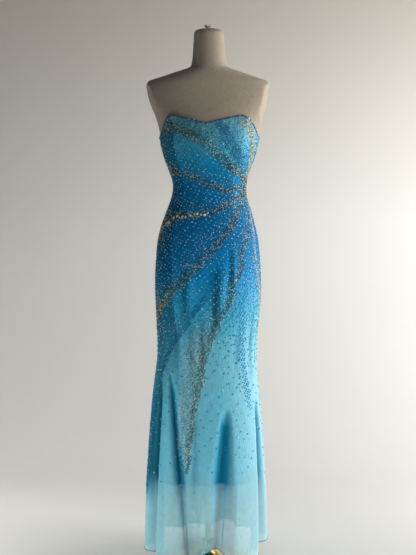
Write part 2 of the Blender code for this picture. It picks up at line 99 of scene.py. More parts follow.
# angle from the centre front, height of the neckline there
NECKLINE = np.array(
    [
        (0, 1.3865), (12, 1.397), (23, 1.4045), (33, 1.409), (41, 1.4), (52, 1.383),
        (66, 1.363), (78, 1.346), (92, 1.34), (120, 1.335), (150, 1.33), (180, 1.327),
    ]
)

# Valleys of the flared skirt: angle at the top and at the hem, height of the top, depth at the
# hem, degrees out to the ridges on its left and right, how far each bank leans over it, and how
# much painted shade darkens its colour.
VALLEYS = [
    (-54, -56, 0.6, 0.046, 16, 10, 0.0, 0.018, 1.0),
    (-43, -19, 0.63, 0.04, 6, 19, 0.016, 0.0, 0.9),
    (-8, -10, 0.52, 0.008, 7, 6, 0.0, 0.0, 0.2),
    (20, 10, 0.52, 0.046, 18, 17, 0.004, 0.006, 1.0),
    (66, 62, 0.54, 0.042, 10, 16, 0.022, 0.0, 0.8),
    (107, 109, 0.6, 0.034, 18, 19, 0.01, 0.012, 0.6),
    (144, 144, 0.61, 0.036, 15, 16, 0.016, 0.006, 0.7),
    (176, 175, 0.56, 0.034, 14, 15, 0.006, 0.014, 0.7),
    (207, 205, 0.62, 0.036, 15, 15, 0.014, 0.006, 0.7),
    (238, 236, 0.6, 0.036, 16, 16, 0.008, 0.016, 0.6),
    (268, 268, 0.58, 0.034, 15, 14, 0.01, 0.006, 0.5),
]

SEAMS = {
    "princess_left": [(1.41, -37), (1.187, -42), (0.97, -42), (0.72, -33), (0.56, -26), (0.06, -16)],
    "princess_right": [(1.41, 36), (1.187, 34), (0.97, 26), (0.72, 25), (0.5, 22), (0.06, 16)],
    "side_right": [(1.41, 90), (0.72, 90), (0.56, 99), (0.06, 109)],
    "back_right": [(1.41, 146), (1.187, 150), (0.72, 147), (0.06, 144)],
    "centre_back": [(1.41, 180), (0.96, 180), (0.86, 180), (0.56, 177), (0.06, 175)],
    "back_left": [(1.41, 214), (1.187, 210), (0.72, 207), (0.06, 205)],
    "side_left": [(1.41, 270), (0.06, 268)],
}
# name, seam on its left, seam on its right, columns of cloth between them
PANELS = [
    ("front_centre_panel", "princess_left", "princess_right", 68),
    ("front_side_panel_right", "princess_right", "side_right", 58),
    ("back_side_panel_right", "side_right", "back_right", 48),
    ("back_centre_panel_right", "back_right", "centre_back", 30),
    ("back_centre_panel_left", "centre_back", "back_left", 30),
    ("back_side_panel_left", "back_left", "side_left", 48),
    ("front_side_panel_left", "side_left", "princess_left", 52),
]


# -------- shape of the cloth
def smooth_curve(places, values, at):
    """Values at some places, on a smooth curve through a table's rows."""
    order = np.argsort(places)
    x = np.asarray(places, float)[order]
    y = np.asarray(values, float)[order]
    at = np.clip(at, x[0], x[-1])
    i = np.clip(np.searchsorted(x, at, side="right") - 1, 0, len(x) - 2)
    slopes = np.empty(len(x))
    slopes[1:-1] = (y[2:] - y[:-2]) / (x[2:] - x[:-2])
    slopes[0] = (y[1] - y[0]) / (x[1] - x[0])
    slopes[-1] = (y[-1] - y[-2]) / (x[-1] - x[-2])
    span = x[i + 1] - x[i]
    t = (at - x[i]) / span
    return (
        (2 * t**3 - 3 * t**2 + 1) * y[i]
        + (t**3 - 2 * t**2 + t) * span * slopes[i]
        + (3 * t**2 - 2 * t**3) * y[i + 1]
        + (t**3 - t**2) * span * slopes[i + 1]
    )


def ring(column, height):
    return smooth_curve(HEIGHTS, column, height)


def wrapped(angle):
    """The same angle, between -180 and 180."""
    return (np.asarray(angle, float) + 180) % 360 - 180


def unit(vectors):
    return vectors / np.linalg.norm(vectors, axis=-1, keepdims=True)


def neckline_height(angle):
    turn = np.abs(wrapped(angle + NECK_TURN))
    return smooth_curve(NECKLINE[:, 0], NECKLINE[:, 1], turn)


def seam_angle(seam, height):
    rows = np.array(SEAMS[seam], float)
    return smooth_curve(rows[:, 0], rows[:, 1], height)


def cup_push(angle, height):
    turn = np.abs(wrapped(angle))
    reach = np.where(height > BUST_HEIGHT, CUP_RISE, CUP_DROP)
    across = np.cos(math.pi / 2 * np.minimum(turn / CUP_HALF_ANGLE, 1.0))
    return CUP_OUT * across * np.exp(-(((height - BUST_HEIGHT) / reach) ** 2))


def valleys_at(angle, height):
    """Each valley's depth, leans and painted shade, how grown it is, and the places across it, -1 to 1.
    """
    for top_angle, hem_angle, top, depth, left, right, *leans, painted_shade in VALLEYS:
        grown = np.clip((top - height) / (top - HEM_HEIGHT), 0, 1)
        centre = top_angle + (hem_angle - top_angle) * grown**0.75
        off = wrapped(angle - centre)
        spread = 0.2 + 0.8 * grown**0.45
        across = np.clip(off / (np.where(off < 0, left, right) * spread), -1, 1)
        yield depth, leans, painted_shade, grown, across


def fold_fall(angle, height):
    """How far the cloth falls inside its outline in the valleys between its folds."""
    return sum(
        depth * grown**0.55 * np.cos(math.pi / 2 * across) ** 2
        for depth, _, _, grown, across in valleys_at(angle, height)
    )


def bank_lean(angle, height):
    """How far round the body the cloth shifts where a fold rolls over the valley beside it."""
    return sum(
        np.where(across < 0, leans[0], -leans[1]) * grown**0.9 * np.sin(math.pi * across) ** 2
        for _, leans, _, grown, across in valleys_at(angle, height)
    )


def painted_fold_shade(angle, height):
    """Painted shade: how much darker the cloth is coloured in the valleys and creases."""
    fade = np.interp(height, [HEM_HEIGHT, 0.25, 0.29, 1.0], [0.15, 0.3, 1.0, 1.0])
    valleys = sum(
        painted_shade * np.clip(grown * 9, 0, 1) * fade
        * np.clip(1.7 * np.cos(math.pi / 2 * across) ** 2, 0, 1)
        for _, _, painted_shade, grown, across in valleys_at(angle, height)
    )
    # Painted shade in the creases grows with their depth.
    return np.clip(valleys + 170 * np.maximum(crease_depth(angle, height), 0), 0, 1)


def round_power(value):
    return np.copysign(np.abs(value) ** (2 / ROUNDNESS), value)


def body_points(angle, height, inset=0.0, fold_share=1.0):
    """Points of the cloth's outer face, or of what lies inside it by the inset."""
    angle, height, inset = np.broadcast_arrays(
        np.asarray(angle, float), np.asarray(height, float), np.asarray(inset, float)
    )
    half_width = ring(HALF_WIDTH, height)
    turn = np.radians(angle)
    side = np.sin(turn)
    ahead = np.cos(turn)
    depth = np.where(ahead > 0, ring(FRONT, height), ring(BACK, height))
    out = unit(np.stack([depth * side, -half_width * ahead], -1))
    push = cup_push(angle, height) - fold_fall(angle, height) * fold_share - inset
    x = half_width * round_power(side) + out[..., 0] * push
    y = -depth * round_power(ahead) + out[..., 1] * push
    side_cut = ring(SIDE_CUT, height)
    cut = half_width - side_cut
    slant = PLATE_SLANT * np.clip(cut / PLATE_FULL_CUT, 0, 1)
    plate = side_cut - inset + slant * np.minimum(y, 0.0)
    x = np.where(cut > 0.0005, np.clip(x, -plate, plate), x)
    return np.stack([x + ring(CENTRE_X, height), y, height], -1)


def degrees_for(angle, height, distance):
    """The turn that moves a point this distance round its ring."""
    start = body_points(angle, height)
    turn = np.full(np.broadcast(angle, height).shape, math.degrees(distance / 0.12))
    for _ in range(4):
        moved = np.linalg.norm(body_points(angle + turn, height) - start, axis=-1)
        turn = turn * abs(distance) / np.maximum(moved, 1e-9)
    return turn


# Soft creases: angle and height of the top, angle and height of the foot, depth, half width in
# metres. A minus depth is a ridge.
CREASES = [
    (8, 0.99, 4, 0.7, 0.005, 0.009), (-5, 0.82, -5, 0.62, 0.0036, 0.008),
    (-17, 0.8, -14, 0.58, 0.0034, 0.008), (-22, 1.0, -25, 0.74, 0.0042, 0.009),
    (-43, 1.02, -40, 0.74, 0.0046, 0.009), (25, 1.01, 22, 0.86, 0.0034, 0.005),
    (19, 1.01, 17, 0.88, -0.0022, 0.004), (-32, 0.8, -34, 0.6, 0.0034, 0.008),
    (-62, 0.88, -60, 0.56, 0.0034, 0.01), (34, 0.8, 33, 0.58, 0.0014, 0.009),
    (58, 0.86, 58, 0.56, 0.003, 0.011), (74, 0.8, 76, 0.58, 0.0024, 0.01),
    (-84, 0.78, -86, 0.54, 0.0028, 0.01), (106, 0.9, 108, 0.62, 0.003, 0.01),
    (122, 0.96, 120, 0.58, 0.0036, 0.009), (142, 0.86, 142, 0.6, 0.003, 0.01),
    (158, 0.98, 160, 0.66, 0.0038, 0.008), (198, 0.94, 198, 0.62, 0.004, 0.009),
    (216, 0.9, 216, 0.6, 0.003, 0.01), (232, 1.0, 228, 0.7, 0.004, 0.009),
    (258, 0.88, 258, 0.6, 0.003, 0.01),
]
DEGREE = 0.00225  # metres round the body for one degree at the thighs


def crease_depth(angle, height, aside=0.0):
    """The depth of the creases, or of ridges set to the right of them by some half widths."""
    depth_here = np.zeros(np.broadcast(angle, height).shape)
    for top_angle, top, foot_angle, foot, depth, half in CREASES:
        along = np.clip((top - height) / (top - foot), 0, 1)
        centre = top_angle + (foot_angle - top_angle) * along
        off = wrapped(angle - centre) * DEGREE - aside * half
        depth_here += depth * np.sin(math.pi * along) ** 1.5 * np.exp(-((off / half) ** 2))
    return depth_here


def crease_fall(angle, height):
    """Creases fall inwards below the dress form, and stand up as soft ridges over it."""
    over_form = np.interp(height, [0.79, 0.86], [0.0, 1.0])
    inwards = crease_depth(angle, height) * (1 - over_form)
    return inwards - 1.1 * crease_depth(angle, height, 1.4) * over_form


# How far the hem hangs below its mean level, by the angle round the body.
HEM_DROPS = np.array(
    [
        (-180, 0.002), (-130, 0.0), (-100, 0.0), (-76, 0.0), (-60, 0.004), (-45, 0.012),
        (-25, 0.012), (-15, 0.009), (-9, 0.002), (-5, -0.01), (0, -0.021), (5, -0.025),
        (11, -0.025), (16, -0.018), (21, -0.004), (27, 0.008), (40, 0.012), (54, 0.008),
        (62, -0.008), (70, -0.022), (82, -0.026), (95, -0.018), (120, -0.004), (145, -0.006),
        (162, -0.016), (180, 0.002),
    ]
)
HEM_DROP_FROM = 0.4  # the drop starts at this height and grows down to the hem


def hem_drop(angle, height):
    drop = smooth_curve(HEM_DROPS[:, 0], HEM_DROPS[:, 1], wrapped(angle))
    share = np.clip((HEM_DROP_FROM - height) / (HEM_DROP_FROM - HEM_HEIGHT), 0, 1)
    return drop * share**2


# The boned princess seams stand out a little over the bust, where the side panels turn away.
SEAM_STAND = 0.0042
SEAM_HALF_ANGLE = 13.0


def seam_stand(angle, height):
    level = np.interp(height, [1.1, 1.22, 1.32, 1.41], [0.0, 0.7, 1.0, 0.8])
    stand = np.zeros(np.broadcast(angle, height).shape)
    for seam in ("princess_left", "princess_right"):
        off = np.abs(wrapped(angle - seam_angle(seam, height)))
        stand += SEAM_STAND * level * np.clip(1 - off / SEAM_HALF_ANGLE, 0, 1)
    return stand


def cloth_points(angle, height, inset=0.0, fold_share=1.0):
    """The hanging cloth: the body's outline with its creases, leaning folds and uneven hem."""
    angle = np.asarray(angle, float)
    height = np.asarray(height, float)
    fall = inset + crease_fall(angle, height) - seam_stand(angle, height)
    points = body_points(angle, height, fall, fold_share)
    shift = bank_lean(angle, height)
    turn = np.radians(angle)
    points[..., 0] += shift * np.cos(turn)
    points[..., 1] += shift * np.sin(turn)
    points[..., 2] -= hem_drop(angle, height)
    return points


def cloth_frames(angle, height):
    """Points on the cloth with the outward, sideways and upward directions there."""
    side = unit(cloth_points(angle + 0.4, height) - cloth_points(angle - 0.4, height))
    up = unit(cloth_points(angle, height + 0.0015) - cloth_points(angle, height - 0.0015))
    out = unit(np.cross(side, up))
    return cloth_points(angle, height), out, np.cross(up, out), up


# -------- mesh helpers
def mesh_object(name, points, faces, material, smooth=True):
    """A piece from numpy points and equal-sided faces, riding on the gown's body."""
    mesh = bpy.data.meshes.new(name)
    points = np.asarray(points, np.float32).reshape(-1, 3)
    faces = np.asarray(faces, np.int32)
    sides = faces.shape[1]
    mesh.vertices.add(len(points))
    mesh.vertices.foreach_set("co", points.ravel())
    mesh.loops.add(faces.size)
    mesh.loops.foreach_set("vertex_index", faces.ravel())
    mesh.polygons.add(len(faces))
    mesh.polygons.foreach_set("loop_start", np.arange(0, faces.size, sides, dtype=np.int32))
    mesh.polygons.foreach_set("use_smooth", np.full(len(faces), smooth))
    mesh.update(calc_edges=True)
    mesh.validate()
    mesh.materials.append(material)
    obj = bpy.data.objects.new(name, mesh)
    bpy.context.scene.collection.objects.link(obj)
    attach(obj, GOWN)
    return obj


def grid_faces(rows, columns, closed=False):
    """Quads of a grid whose rows run down, seen from outside."""
    upper = np.arange(rows - 1)[:, None] * columns
    left = np.arange(columns if closed else columns - 1)[None, :]
    right = (left + 1) % columns
    return np.stack(
        [upper + left, upper + columns + left, upper + columns + right, upper + right], -1
    ).reshape(-1, 4)


def grid_object(name, points, material, closed=False):
    return mesh_object(name, points, grid_faces(*points.shape[:2], closed), material)


def rings_along(line, first, second, radius, sides):
    """Rings of points round a line, each in the plane of two directions."""
    turn = np.linspace(0, 2 * math.pi, sides, endpoint=False)[None, :, None]
    circle = first[:, None, :] * np.cos(turn) + second[:, None, :] * np.sin(turn)
    return line[:, None, :] + circle * radius


def close_ends(obj):
    """Fills a piece's open ends and smooths it."""
    mesh = bmesh.new()
    mesh.from_mesh(obj.data)
    bmesh.ops.holes_fill(mesh, edges=[e for e in mesh.edges if e.is_boundary], sides=0)
    bmesh.ops.recalc_face_normals(mesh, faces=mesh.faces)
    mesh.to_mesh(obj.data)
    mesh.free()
    obj.data.shade_smooth()


def keep_values(obj, name, values):
    """One number a point, kept on the mesh for its material."""
    kept = obj.data.attributes.new(name, "FLOAT", "POINT")
    kept.data.foreach_set("value", np.asarray(values, np.float32).ravel())


def declare_sheet(node):
    """Hides the solid of the node that a piece of cloth stands for."""
    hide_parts(node)


# -------- material helpers
def new_group(name, inputs, outputs):
    """An empty shader group with its named sockets, and its input sockets and output node."""
    tree = bpy.data.node_groups.new(name, "ShaderNodeTree")
    for label, kind, value in inputs:
        socket = tree.interface.new_socket(label, in_out="INPUT", socket_type="NodeSocket" + kind)
        socket.default_value = value
    for label, kind in outputs:
        tree.interface.new_socket(label, in_out="OUTPUT", socket_type="NodeSocket" + kind)
    given = tree.nodes.new("NodeGroupInput").outputs
    return tree, given, tree.nodes.new("NodeGroupOutput")


def add_node(tree, kind, settings=None, **inputs):
    """A shader node with its settings, and its inputs as values or links from sockets."""
    node = tree.nodes.new("ShaderNode" + kind)
    for name, value in (settings or {}).items():
        setattr(node, name, value)
    for name, value in inputs.items():
        key = int(name[1:]) if name[1:].isdigit() else name.replace("_", " ")
        if isinstance(value, bpy.types.NodeSocket):
            tree.links.new(value, node.inputs[key])
        else:
            node.inputs[key].default_value = value
    return node


def feed(tree, node, **sockets):
    for name, socket in sockets.items():
        tree.links.new(socket, node.inputs[name.replace("_", " ")])


def calc(tree, operation, *values):
    """The result of one Math node."""
    inputs = {f"_{place}": value for place, value in enumerate(values)}
    return add_node(tree, "Math", {"operation": operation}, **inputs).outputs[0]


def in_range(tree, value, low, high, to_low=0.0, to_high=1.0):
    node = add_node(
        tree, "MapRange",
        Value=value, From_Min=low, From_Max=high, To_Min=to_low, To_Max=to_high,
    )
    return node.outputs["Result"]


def mix(tree, share, first, second, blend="MIX"):
    settings = {"data_type": "RGBA", "blend_type": blend}
    return add_node(tree, "Mix", settings, _0=share, _6=first, _7=second).outputs[2]


def noise(tree, place, scale, detail):
    node = add_node(tree, "TexNoise", Vector=place, Scale=scale, Detail=detail)
    return node.outputs["Fac"]


def kept_value(tree, name):
    """A number that keep_values kept on the mesh."""
    return add_node(tree, "Attribute", {"attribute_name": name}).outputs["Fac"]


def object_place(tree):
    return add_node(tree, "TexCoord").outputs["Object"]


def object_parts(tree):
    return add_node(tree, "SeparateXYZ", Vector=object_place(tree)).outputs


def bumped(tree, height, distance, strength, **more):
    node = add_node(tree, "Bump", Height=height, Strength=strength, Distance=distance, **more)
    return node.outputs["Normal"]


def ramp(tree, source, stops):
    node = add_node(tree, "ValToRGB", Fac=source)
    points = node.color_ramp.elements
    while len(points) < len(stops):
        points.new(0.5)
    for point, (place, colour) in zip(points, stops):
        point.position = place
        point.color = colour
    return node.outputs["Color"]


def grouped(tree, group, **inputs):
    return add_node(tree, "Group", {"node_tree": group}, **inputs).outputs


def linear(colour):
    """A screen colour as the light values that the shaders use."""
    return tuple(c / 12.92 if c <= 0.04045 else ((c + 0.055) / 1.055) ** 2.4 for c in colour) + (1.0,)


def new_material(name, **sockets):
    material = bpy.data.materials.new(name)
    material.use_nodes = True
    tree = material.node_tree
    shader = tree.nodes["Principled BSDF"]
    for label, value in sockets.items():
        shader.inputs[label.replace("_", " ")].default_value = value
    return material, tree, shader


# -------- shared effects
# height, screen colour of the dye there
OMBRE_STOPS = [
    (0.06, (0.68, 0.91, 0.95)), (0.2, (0.65, 0.9, 0.95)), (0.35, (0.5, 0.87, 0.97)),
    (0.52, (0.48, 0.85, 0.95)), (0.66, (0.5, 0.85, 0.94)), (0.74, (0.42, 0.82, 0.94)),
    (0.82, (0.22, 0.74, 0.92)), (0.92, (0.0, 0.61, 0.87)), (1.02, (0.0, 0.52, 0.79)),
    (1.1, (0.0, 0.49, 0.74)), (1.19, (0.0, 0.51, 0.76)), (1.27, (0.1, 0.62, 0.81)),
    (1.34, (0.32, 0.69, 0.81)), (1.42, (0.42, 0.7, 0.77)),
]
DYE_TOP = 1.5
MEAN_RADIUS = 0.15  # of the cloth, for the threads' count round it


def make_ombre():
    """The dip-dyed shading of the cloth by height, with a soft uneven edge to each tone."""
    tree, given, result = new_group(
        "ombre_by_height",
        [("Unevenness", "Float", 0.02)],
        [("Colour", "Color"), ("Height", "Float")],
    )
    centred = calc(tree, "SUBTRACT", noise(tree, object_place(tree), 9.0, 2.0), 0.5)
    shift = calc(tree, "MULTIPLY", centred, given["Unevenness"])
    height = calc(tree, "ADD", object_parts(tree)["Z"], shift)
    stops = [(z / DYE_TOP, linear(colour)) for z, colour in OMBRE_STOPS]
    feed(tree, result, Colour=ramp(tree, in_range(tree, height, 0.0, DYE_TOP), stops))
    feed(tree, result, Height=height)
    return tree


def make_threads():
    """Crossed threads round and down the body, as a height from 0 to 1."""
    tree, given, result = new_group(
        "crossed_threads",
        [("Pitch", "Float", 0.0006), ("Slub", "Float", 0.3)],
        [("Height", "Float")],
    )
    parts = object_parts(tree)
    turn = calc(tree, "ARCTAN2", parts["X"], parts["Y"])
    waves = []
    for way in (calc(tree, "MULTIPLY", turn, MEAN_RADIUS), parts["Z"]):
        count = calc(tree, "DIVIDE", way, given["Pitch"])
        waves.append(calc(tree, "SINE", calc(tree, "MULTIPLY", count, 2 * math.pi)))
    both = calc(tree, "MULTIPLY_ADD", *waves, 1.0)
    uneven = calc(tree, "MULTIPLY", noise(tree, object_place(tree), 420.0, 2.0), given["Slub"])
    feed(tree, result, Height=calc(tree, "MULTIPLY_ADD", both, 0.35, uneven))
    return tree


def make_mottle():
    """A base colour made a little lighter and darker in soft patches."""
    tree, given, result = new_group(
        "soft_mottle",
        [
            ("Colour", "Color", (0.5, 0.5, 0.5, 1)),
            ("Amount", "Float", 0.2),
            ("Scale", "Float", 30.0),
        ],
        [("Colour", "Color"), ("Mask", "Float")],
    )
    cloud = noise(tree, object_place(tree), given["Scale"], 4.0)
    light = in_range(tree, cloud, 0.3, 0.7, -0.5, 0.5)
    share = calc(tree, "MULTIPLY_ADD", light, given["Amount"], 1.0)
    shade = add_node(
        tree, "VectorMath", {"operation": "SCALE"}, _0=given["Colour"], Scale=share
    )
    feed(tree, result, Colour=shade.outputs["Vector"], Mask=cloud)
    return tree


OMBRE = make_ombre()
THREADS = make_threads()
MOTTLE = make_mottle()


# -------- materials of the gown
# How solid the chiffon looks by height: sheer at the hem, less so over the lining's edge, and
# mounted on its backing from the thighs up.
ALPHA_STOPS = [(0.0, 0.7), (0.26, 0.73), (0.34, 0.86), (0.8, 0.89), (0.87, 1.0)]
# Colours of the painted shade mixed into the chiffon, lower down and higher up.
LOW_PAINTED_SHADE_COLOUR = (0.0, 0.56, 0.71)
HIGH_PAINTED_SHADE_COLOUR = (0.0, 0.34, 0.48)
STAIN = (0.0, 0.47, 0.68)
STAIN_STRENGTH = 0.28
# Colour of the painted light on the right side and of the painted highlight on the raised puckers.
PAINTED_LIGHT_COLOUR = (0.78, 0.92, 0.97)
# How strongly the painted shade is mixed into the chiffon.
PAINTED_SHADE_STRENGTH = 0.95
PUCKER_DEPTH = 0.0055  # small drawn-up puckers beside the long spray
PUCKER_LEAST = 0.25  # share of that depth on the rest of the cloth
# How much paler the raised puckers are coloured, as a painted highlight.
PUCKER_PAINTED_HIGHLIGHT = 0.42
PAINTED_SHADE_MULTIPLIER = (0.15, 0.38, 0.36, 1.0)  # painted shade multiplied into the left side's folds


def chiffon_material():
    material, tree, shader = new_material(
        "beaded_chiffon_cloth",
        Roughness=0.75, Sheen_Weight=0.02, Sheen_Roughness=0.5, Specular_IOR_Level=0.05,
    )
    dye = grouped(tree, OMBRE, Unevenness=0.05)
    colour = grouped(tree, MOTTLE, Colour=dye["Colour"], Amount=0.14, Scale=60.0)["Colour"]
    share = calc(tree, "MULTIPLY", kept_value(tree, "stain"), STAIN_STRENGTH)
    colour = mix(tree, share, colour, linear(STAIN))
    # Painted shade: the valleys, the creases and the left side are coloured darker.
    share = calc(tree, "MULTIPLY", kept_value(tree, "painted_shade"), PAINTED_SHADE_STRENGTH)
    painted_shade_colour = ramp(tree, dye["Height"], [(0.58, linear(LOW_PAINTED_SHADE_COLOUR)), (0.76, linear(HIGH_PAINTED_SHADE_COLOUR))])
    colour = mix(tree, share, colour, painted_shade_colour)
    # Painted light: the right side, which faces the lamp, is coloured paler.
    colour = mix(tree, kept_value(tree, "pale"), colour, linear(PAINTED_LIGHT_COLOUR))
    drawn = add_node(
        tree, "Mapping", Vector=object_place(tree), Scale=(1.0, 1.0, 0.38)
    ).outputs["Vector"]
    height = calc(tree, "MULTIPLY", noise(tree, drawn, 170.0, 1.0), kept_value(tree, "pucker"))
    # Painted highlight: the raised tops of the puckers are coloured paler.
    painted_pucker_highlight = in_range(tree, height, 0.38, 0.58, 0.0, PUCKER_PAINTED_HIGHLIGHT)
    colour = mix(tree, painted_pucker_highlight, colour, linear(PAINTED_LIGHT_COLOUR))
    # Painted shade: the left side's folds and the middle of the front hem are coloured darker.
    colour = mix(tree, kept_value(tree, "shade"), colour, PAINTED_SHADE_MULTIPLIER, "MULTIPLY")
    stops = [(z / DYE_TOP, (alpha, alpha, alpha, 1)) for z, alpha in ALPHA_STOPS]
    alpha = ramp(tree, in_range(tree, dye["Height"], 0.0, DYE_TOP), stops)
    weave = grouped(tree, THREADS, Pitch=0.0007, Slub=0.5)["Height"]
    soft = bumped(tree, height, PUCKER_DEPTH, 1.0)
    fine = bumped(tree, weave, 0.00012, 0.5, Normal=soft)
    feed(tree, shader, Base_Color=colour, Alpha=alpha, Normal=fine)
    return material


def lining_material():
    material, tree, shader = new_material(
        "lining_satin_cloth", Roughness=0.42, Sheen_Weight=0.15, Specular_IOR_Level=0.45
    )
    stops = [
        (0.0, (0.16, 0.62, 0.76)), (0.25, (0.06, 0.54, 0.7)), (0.6, (0.08, 0.52, 0.68)),
        (1.0, (0.04, 0.42, 0.62)),
    ]
    share = in_range(tree, object_parts(tree)["Z"], 0.25, 0.85)
    dye = ramp(tree, share, [(place, linear(colour)) for place, colour in stops])
    patches = grouped(tree, MOTTLE, Colour=dye, Amount=0.12, Scale=25.0)
    weave = grouped(tree, THREADS, Pitch=0.0005, Slub=0.4)["Height"]
    normal = bumped(tree, weave, 0.00008, 0.4)
    feed(tree, shader, Base_Color=patches["Colour"], Normal=normal)
    return material


def plain_cloth(name, colour, amount, scale, roughness, pitch, depth, **sockets):
    """A dyed cloth with soft patches and crossed threads."""
    material, tree, shader = new_material(name, Roughness=roughness, **sockets)
    patches = grouped(tree, MOTTLE, Colour=linear(colour), Amount=amount, Scale=scale)
    weave = grouped(tree, THREADS, Pitch=pitch, Slub=0.6)["Height"]
    feed(tree, shader, Base_Color=patches["Colour"], Normal=bumped(tree, weave, depth, 0.8))
    return material


def worn_metal(name, colour, roughness, metallic, spread):
    """Metal or enamel with faint rubbed patches."""
    material, tree, shader = new_material(name, Metallic=metallic)
    patches = grouped(tree, MOTTLE, Colour=linear(colour), Amount=0.1, Scale=40.0)
    rub = in_range(tree, patches["Mask"], 0.3, 0.7, roughness, roughness + spread)
    feed(tree, shader, Base_Color=patches["Colour"], Roughness=rub)
    return material


def glass_material(name, roughness, metallic, shine, *stops):
    """Cut glass and foil: each bead has its own tone, kept on the mesh."""
    material, tree, shader = new_material(
        name, Roughness=roughness, Metallic=metallic, Specular_IOR_Level=shine
    )
    tones = [(place, linear(colour)) for place, colour in stops]
    feed(tree, shader, Base_Color=ramp(tree, kept_value(tree, "tone"), tones))
    return material


CHIFFON = chiffon_material()
LINING = lining_material()
HEM_ROLL = plain_cloth("rolled_chiffon_hem", (0.04, 0.46, 0.57), 0.15, 60.0, 0.6, 0.0007, 0.00005)
BINDING = plain_cloth("neckline_satin", (0.0, 0.42, 0.62), 0.3, 90.0, 0.35, 0.0006, 0.0001)
JERSEY = plain_cloth(
    "form_jersey_cloth", (0.7, 0.65, 0.575), 0.16, 150.0, 0.92, 0.0016, 0.00012, Sheen_Weight=0.1
)
ZIP_WEAVE = plain_cloth("zip_tape_weave", (0.03, 0.33, 0.55), 0.2, 160.0, 0.6, 0.0009, 0.0002)
ZIP_NYLON = plain_cloth("zip_coil_nylon", (0.05, 0.38, 0.6), 0.15, 200.0, 0.35, 0.0012, 0.00005)
BRASS = worn_metal("polished_brass", (0.88, 0.74, 0.46), 0.12, 1.0, 0.1)
ENAMEL = worn_metal("blue_zip_enamel", (0.05, 0.4, 0.66), 0.28, 0.2, 0.15)
SILVER_GLASS = glass_material(
    "silver_lined_glass", 0.42, 0.15, 0.5,
    (0.0, (0.08, 0.16, 0.17)), (0.44, (0.22, 0.32, 0.31)), (0.66, (0.42, 0.55, 0.51)),
    (0.83, (0.74, 0.88, 0.78)), (1.0, (1.0, 1.0, 0.92)),
)
PALE_GLASS = glass_material(
    "pale_silver_glass", 0.42, 0.1, 0.5,
    (0.0, (0.34, 0.42, 0.4)), (0.4, (0.6, 0.66, 0.6)), (0.75, (0.86, 0.88, 0.8)),
    (1.0, (1.0, 1.0, 0.94)),
)
BLUE_GLASS = glass_material(
    "blue_lined_glass", 0.5, 0.0, 0.2,
    (0.0, (0.0, 0.29, 0.44)), (0.5, (0.0, 0.45, 0.62)), (0.85, (0.0, 0.53, 0.76)),
    (1.0, (0.38, 0.78, 0.9)),
)
STONE_GLASS = glass_material(
    "bright_blue_glass", 0.4, 0.0, 0.3,
    (0.0, (0.0, 0.6, 0.84)), (0.7, (0.03, 0.7, 0.92)), (1.0, (0.45, 0.88, 0.98)),
)
AQUA_GLASS = glass_material(
    "pale_aqua_glass", 0.35, 0.0, 0.5,
    (0.0, (0.3, 0.66, 0.78)), (0.45, (0.58, 0.84, 0.86)), (1.0, (0.98, 1.0, 0.88)),
)
CRYSTAL = glass_material(
    "clear_foiled_crystal", 0.3, 0.15, 0.5,
    (0.0, (0.86, 0.87, 0.82)), (0.5, (0.97, 0.97, 0.93)), (1.0, (1.0, 1.0, 1.0)),
)
GOLD_STONES = glass_material(
    "gold_and_silver_settings", 0.18, 0.9, 0.5,
    (0.0, (0.72, 0.6, 0.36)), (0.5, (0.88, 0.78, 0.55)), (1.0, (0.92, 0.93, 0.92)),
)


# -------- panels of the gown
BODICE_STEPS = 30
SKIRT_STEPS = 226
ALLOWANCE = 0.003  # seam allowance folded under a panel's edge
UNDER_NEAR = 0.0007
UNDER_FAR = 0.0011
SEAM_DRAW = 0.00015  # the stitched seam is drawn in a little


def panel_edge(seam, height, towards):
    """The angle of a panel's edge, which leaves the zip's opening at the centre back."""
    angle = seam_angle(seam, height)
    if seam != "centre_back":
        return angle
    share = np.clip((height - ZIP_FOOT) / (ZIP_FULL_TO - ZIP_FOOT), 0, 1)
    reach = ZIP_HALF_WIDTH * share + 0.0001
    one = degrees_for(angle, height, ZIP_HALF_WIDTH) * reach / ZIP_HALF_WIDTH
    return angle + towards * one


def panel_places(left_seam, right_seam, columns):
    """Angles and heights of a panel's grid, rows from the neckline to the hem."""
    lean = np.linspace(0, 1, BODICE_STEPS, endpoint=False)[:, None]
    level = np.linspace(BODICE_FOOT, HEM_HEIGHT, SKIRT_STEPS)[:, None]
    share = np.linspace(0, 1, columns + 1)[None, :]
    top = np.full((BODICE_STEPS, columns + 1), 1.36)
    for _ in range(4):
        heights = np.concatenate([top + (BODICE_FOOT - top) * lean, np.repeat(level, columns + 1, 1)])
        left = panel_edge(left_seam, heights, 1)
        right = panel_edge(right_seam, heights, -1)
        angles = left + ((right - left) % 360) * share
        top = neckline_height(angles[:BODICE_STEPS])
    return angles, heights


# Tables of places and values for painted light and shade: how much painted shade darkens the
# left side panels, how much painted light makes the right side paler, and how much painted shade
# darkens the left side's folds and the raised middle of the front hem.
PANEL_PAINTED_SHADE = {"front_side_panel_left": 0.76, "back_side_panel_left": 0.5}
SIDE_PAINTED_SHADE_LEVELS = ([0.2, 0.29, 0.5, 0.6, 0.8, 1.36, 1.41], [0.1, 1.1, 0.8, 0.5, 1.0, 1.0, 0.6])
PAINTED_LIGHT_TURNS = ([0, 14, 56, 120, 165, 360], [0.0, 0.0, 0.42, 0.42, 0.0, 0.0])
PAINTED_LIGHT_LEVELS = ([0.06, 0.3, 0.7, 0.84, 1.0, 1.25, 1.34], [1.2, 1.1, 1.0, 0.5, 0.1, 0.1, 0.7])
PAINTED_SHADE_TURNS = ([-150, -110, -64, -54, -38], [0.0, 1.0, 1.0, 0.6, 0.0])
PAINTED_SHADE_LEVELS = ([0.24, 0.32, 0.58, 0.72, 0.86], [0.0, 0.95, 0.85, 0.7, 0.0])
HEM_PAINTED_SHADE_TURNS = ([-22, -13, 8, 16], [0.0, 1.0, 1.0, 0.0])
HEM_PAINTED_SHADE_LEVELS = ([0.06, 0.13, 0.19], [0.45, 0.45, 0.0])


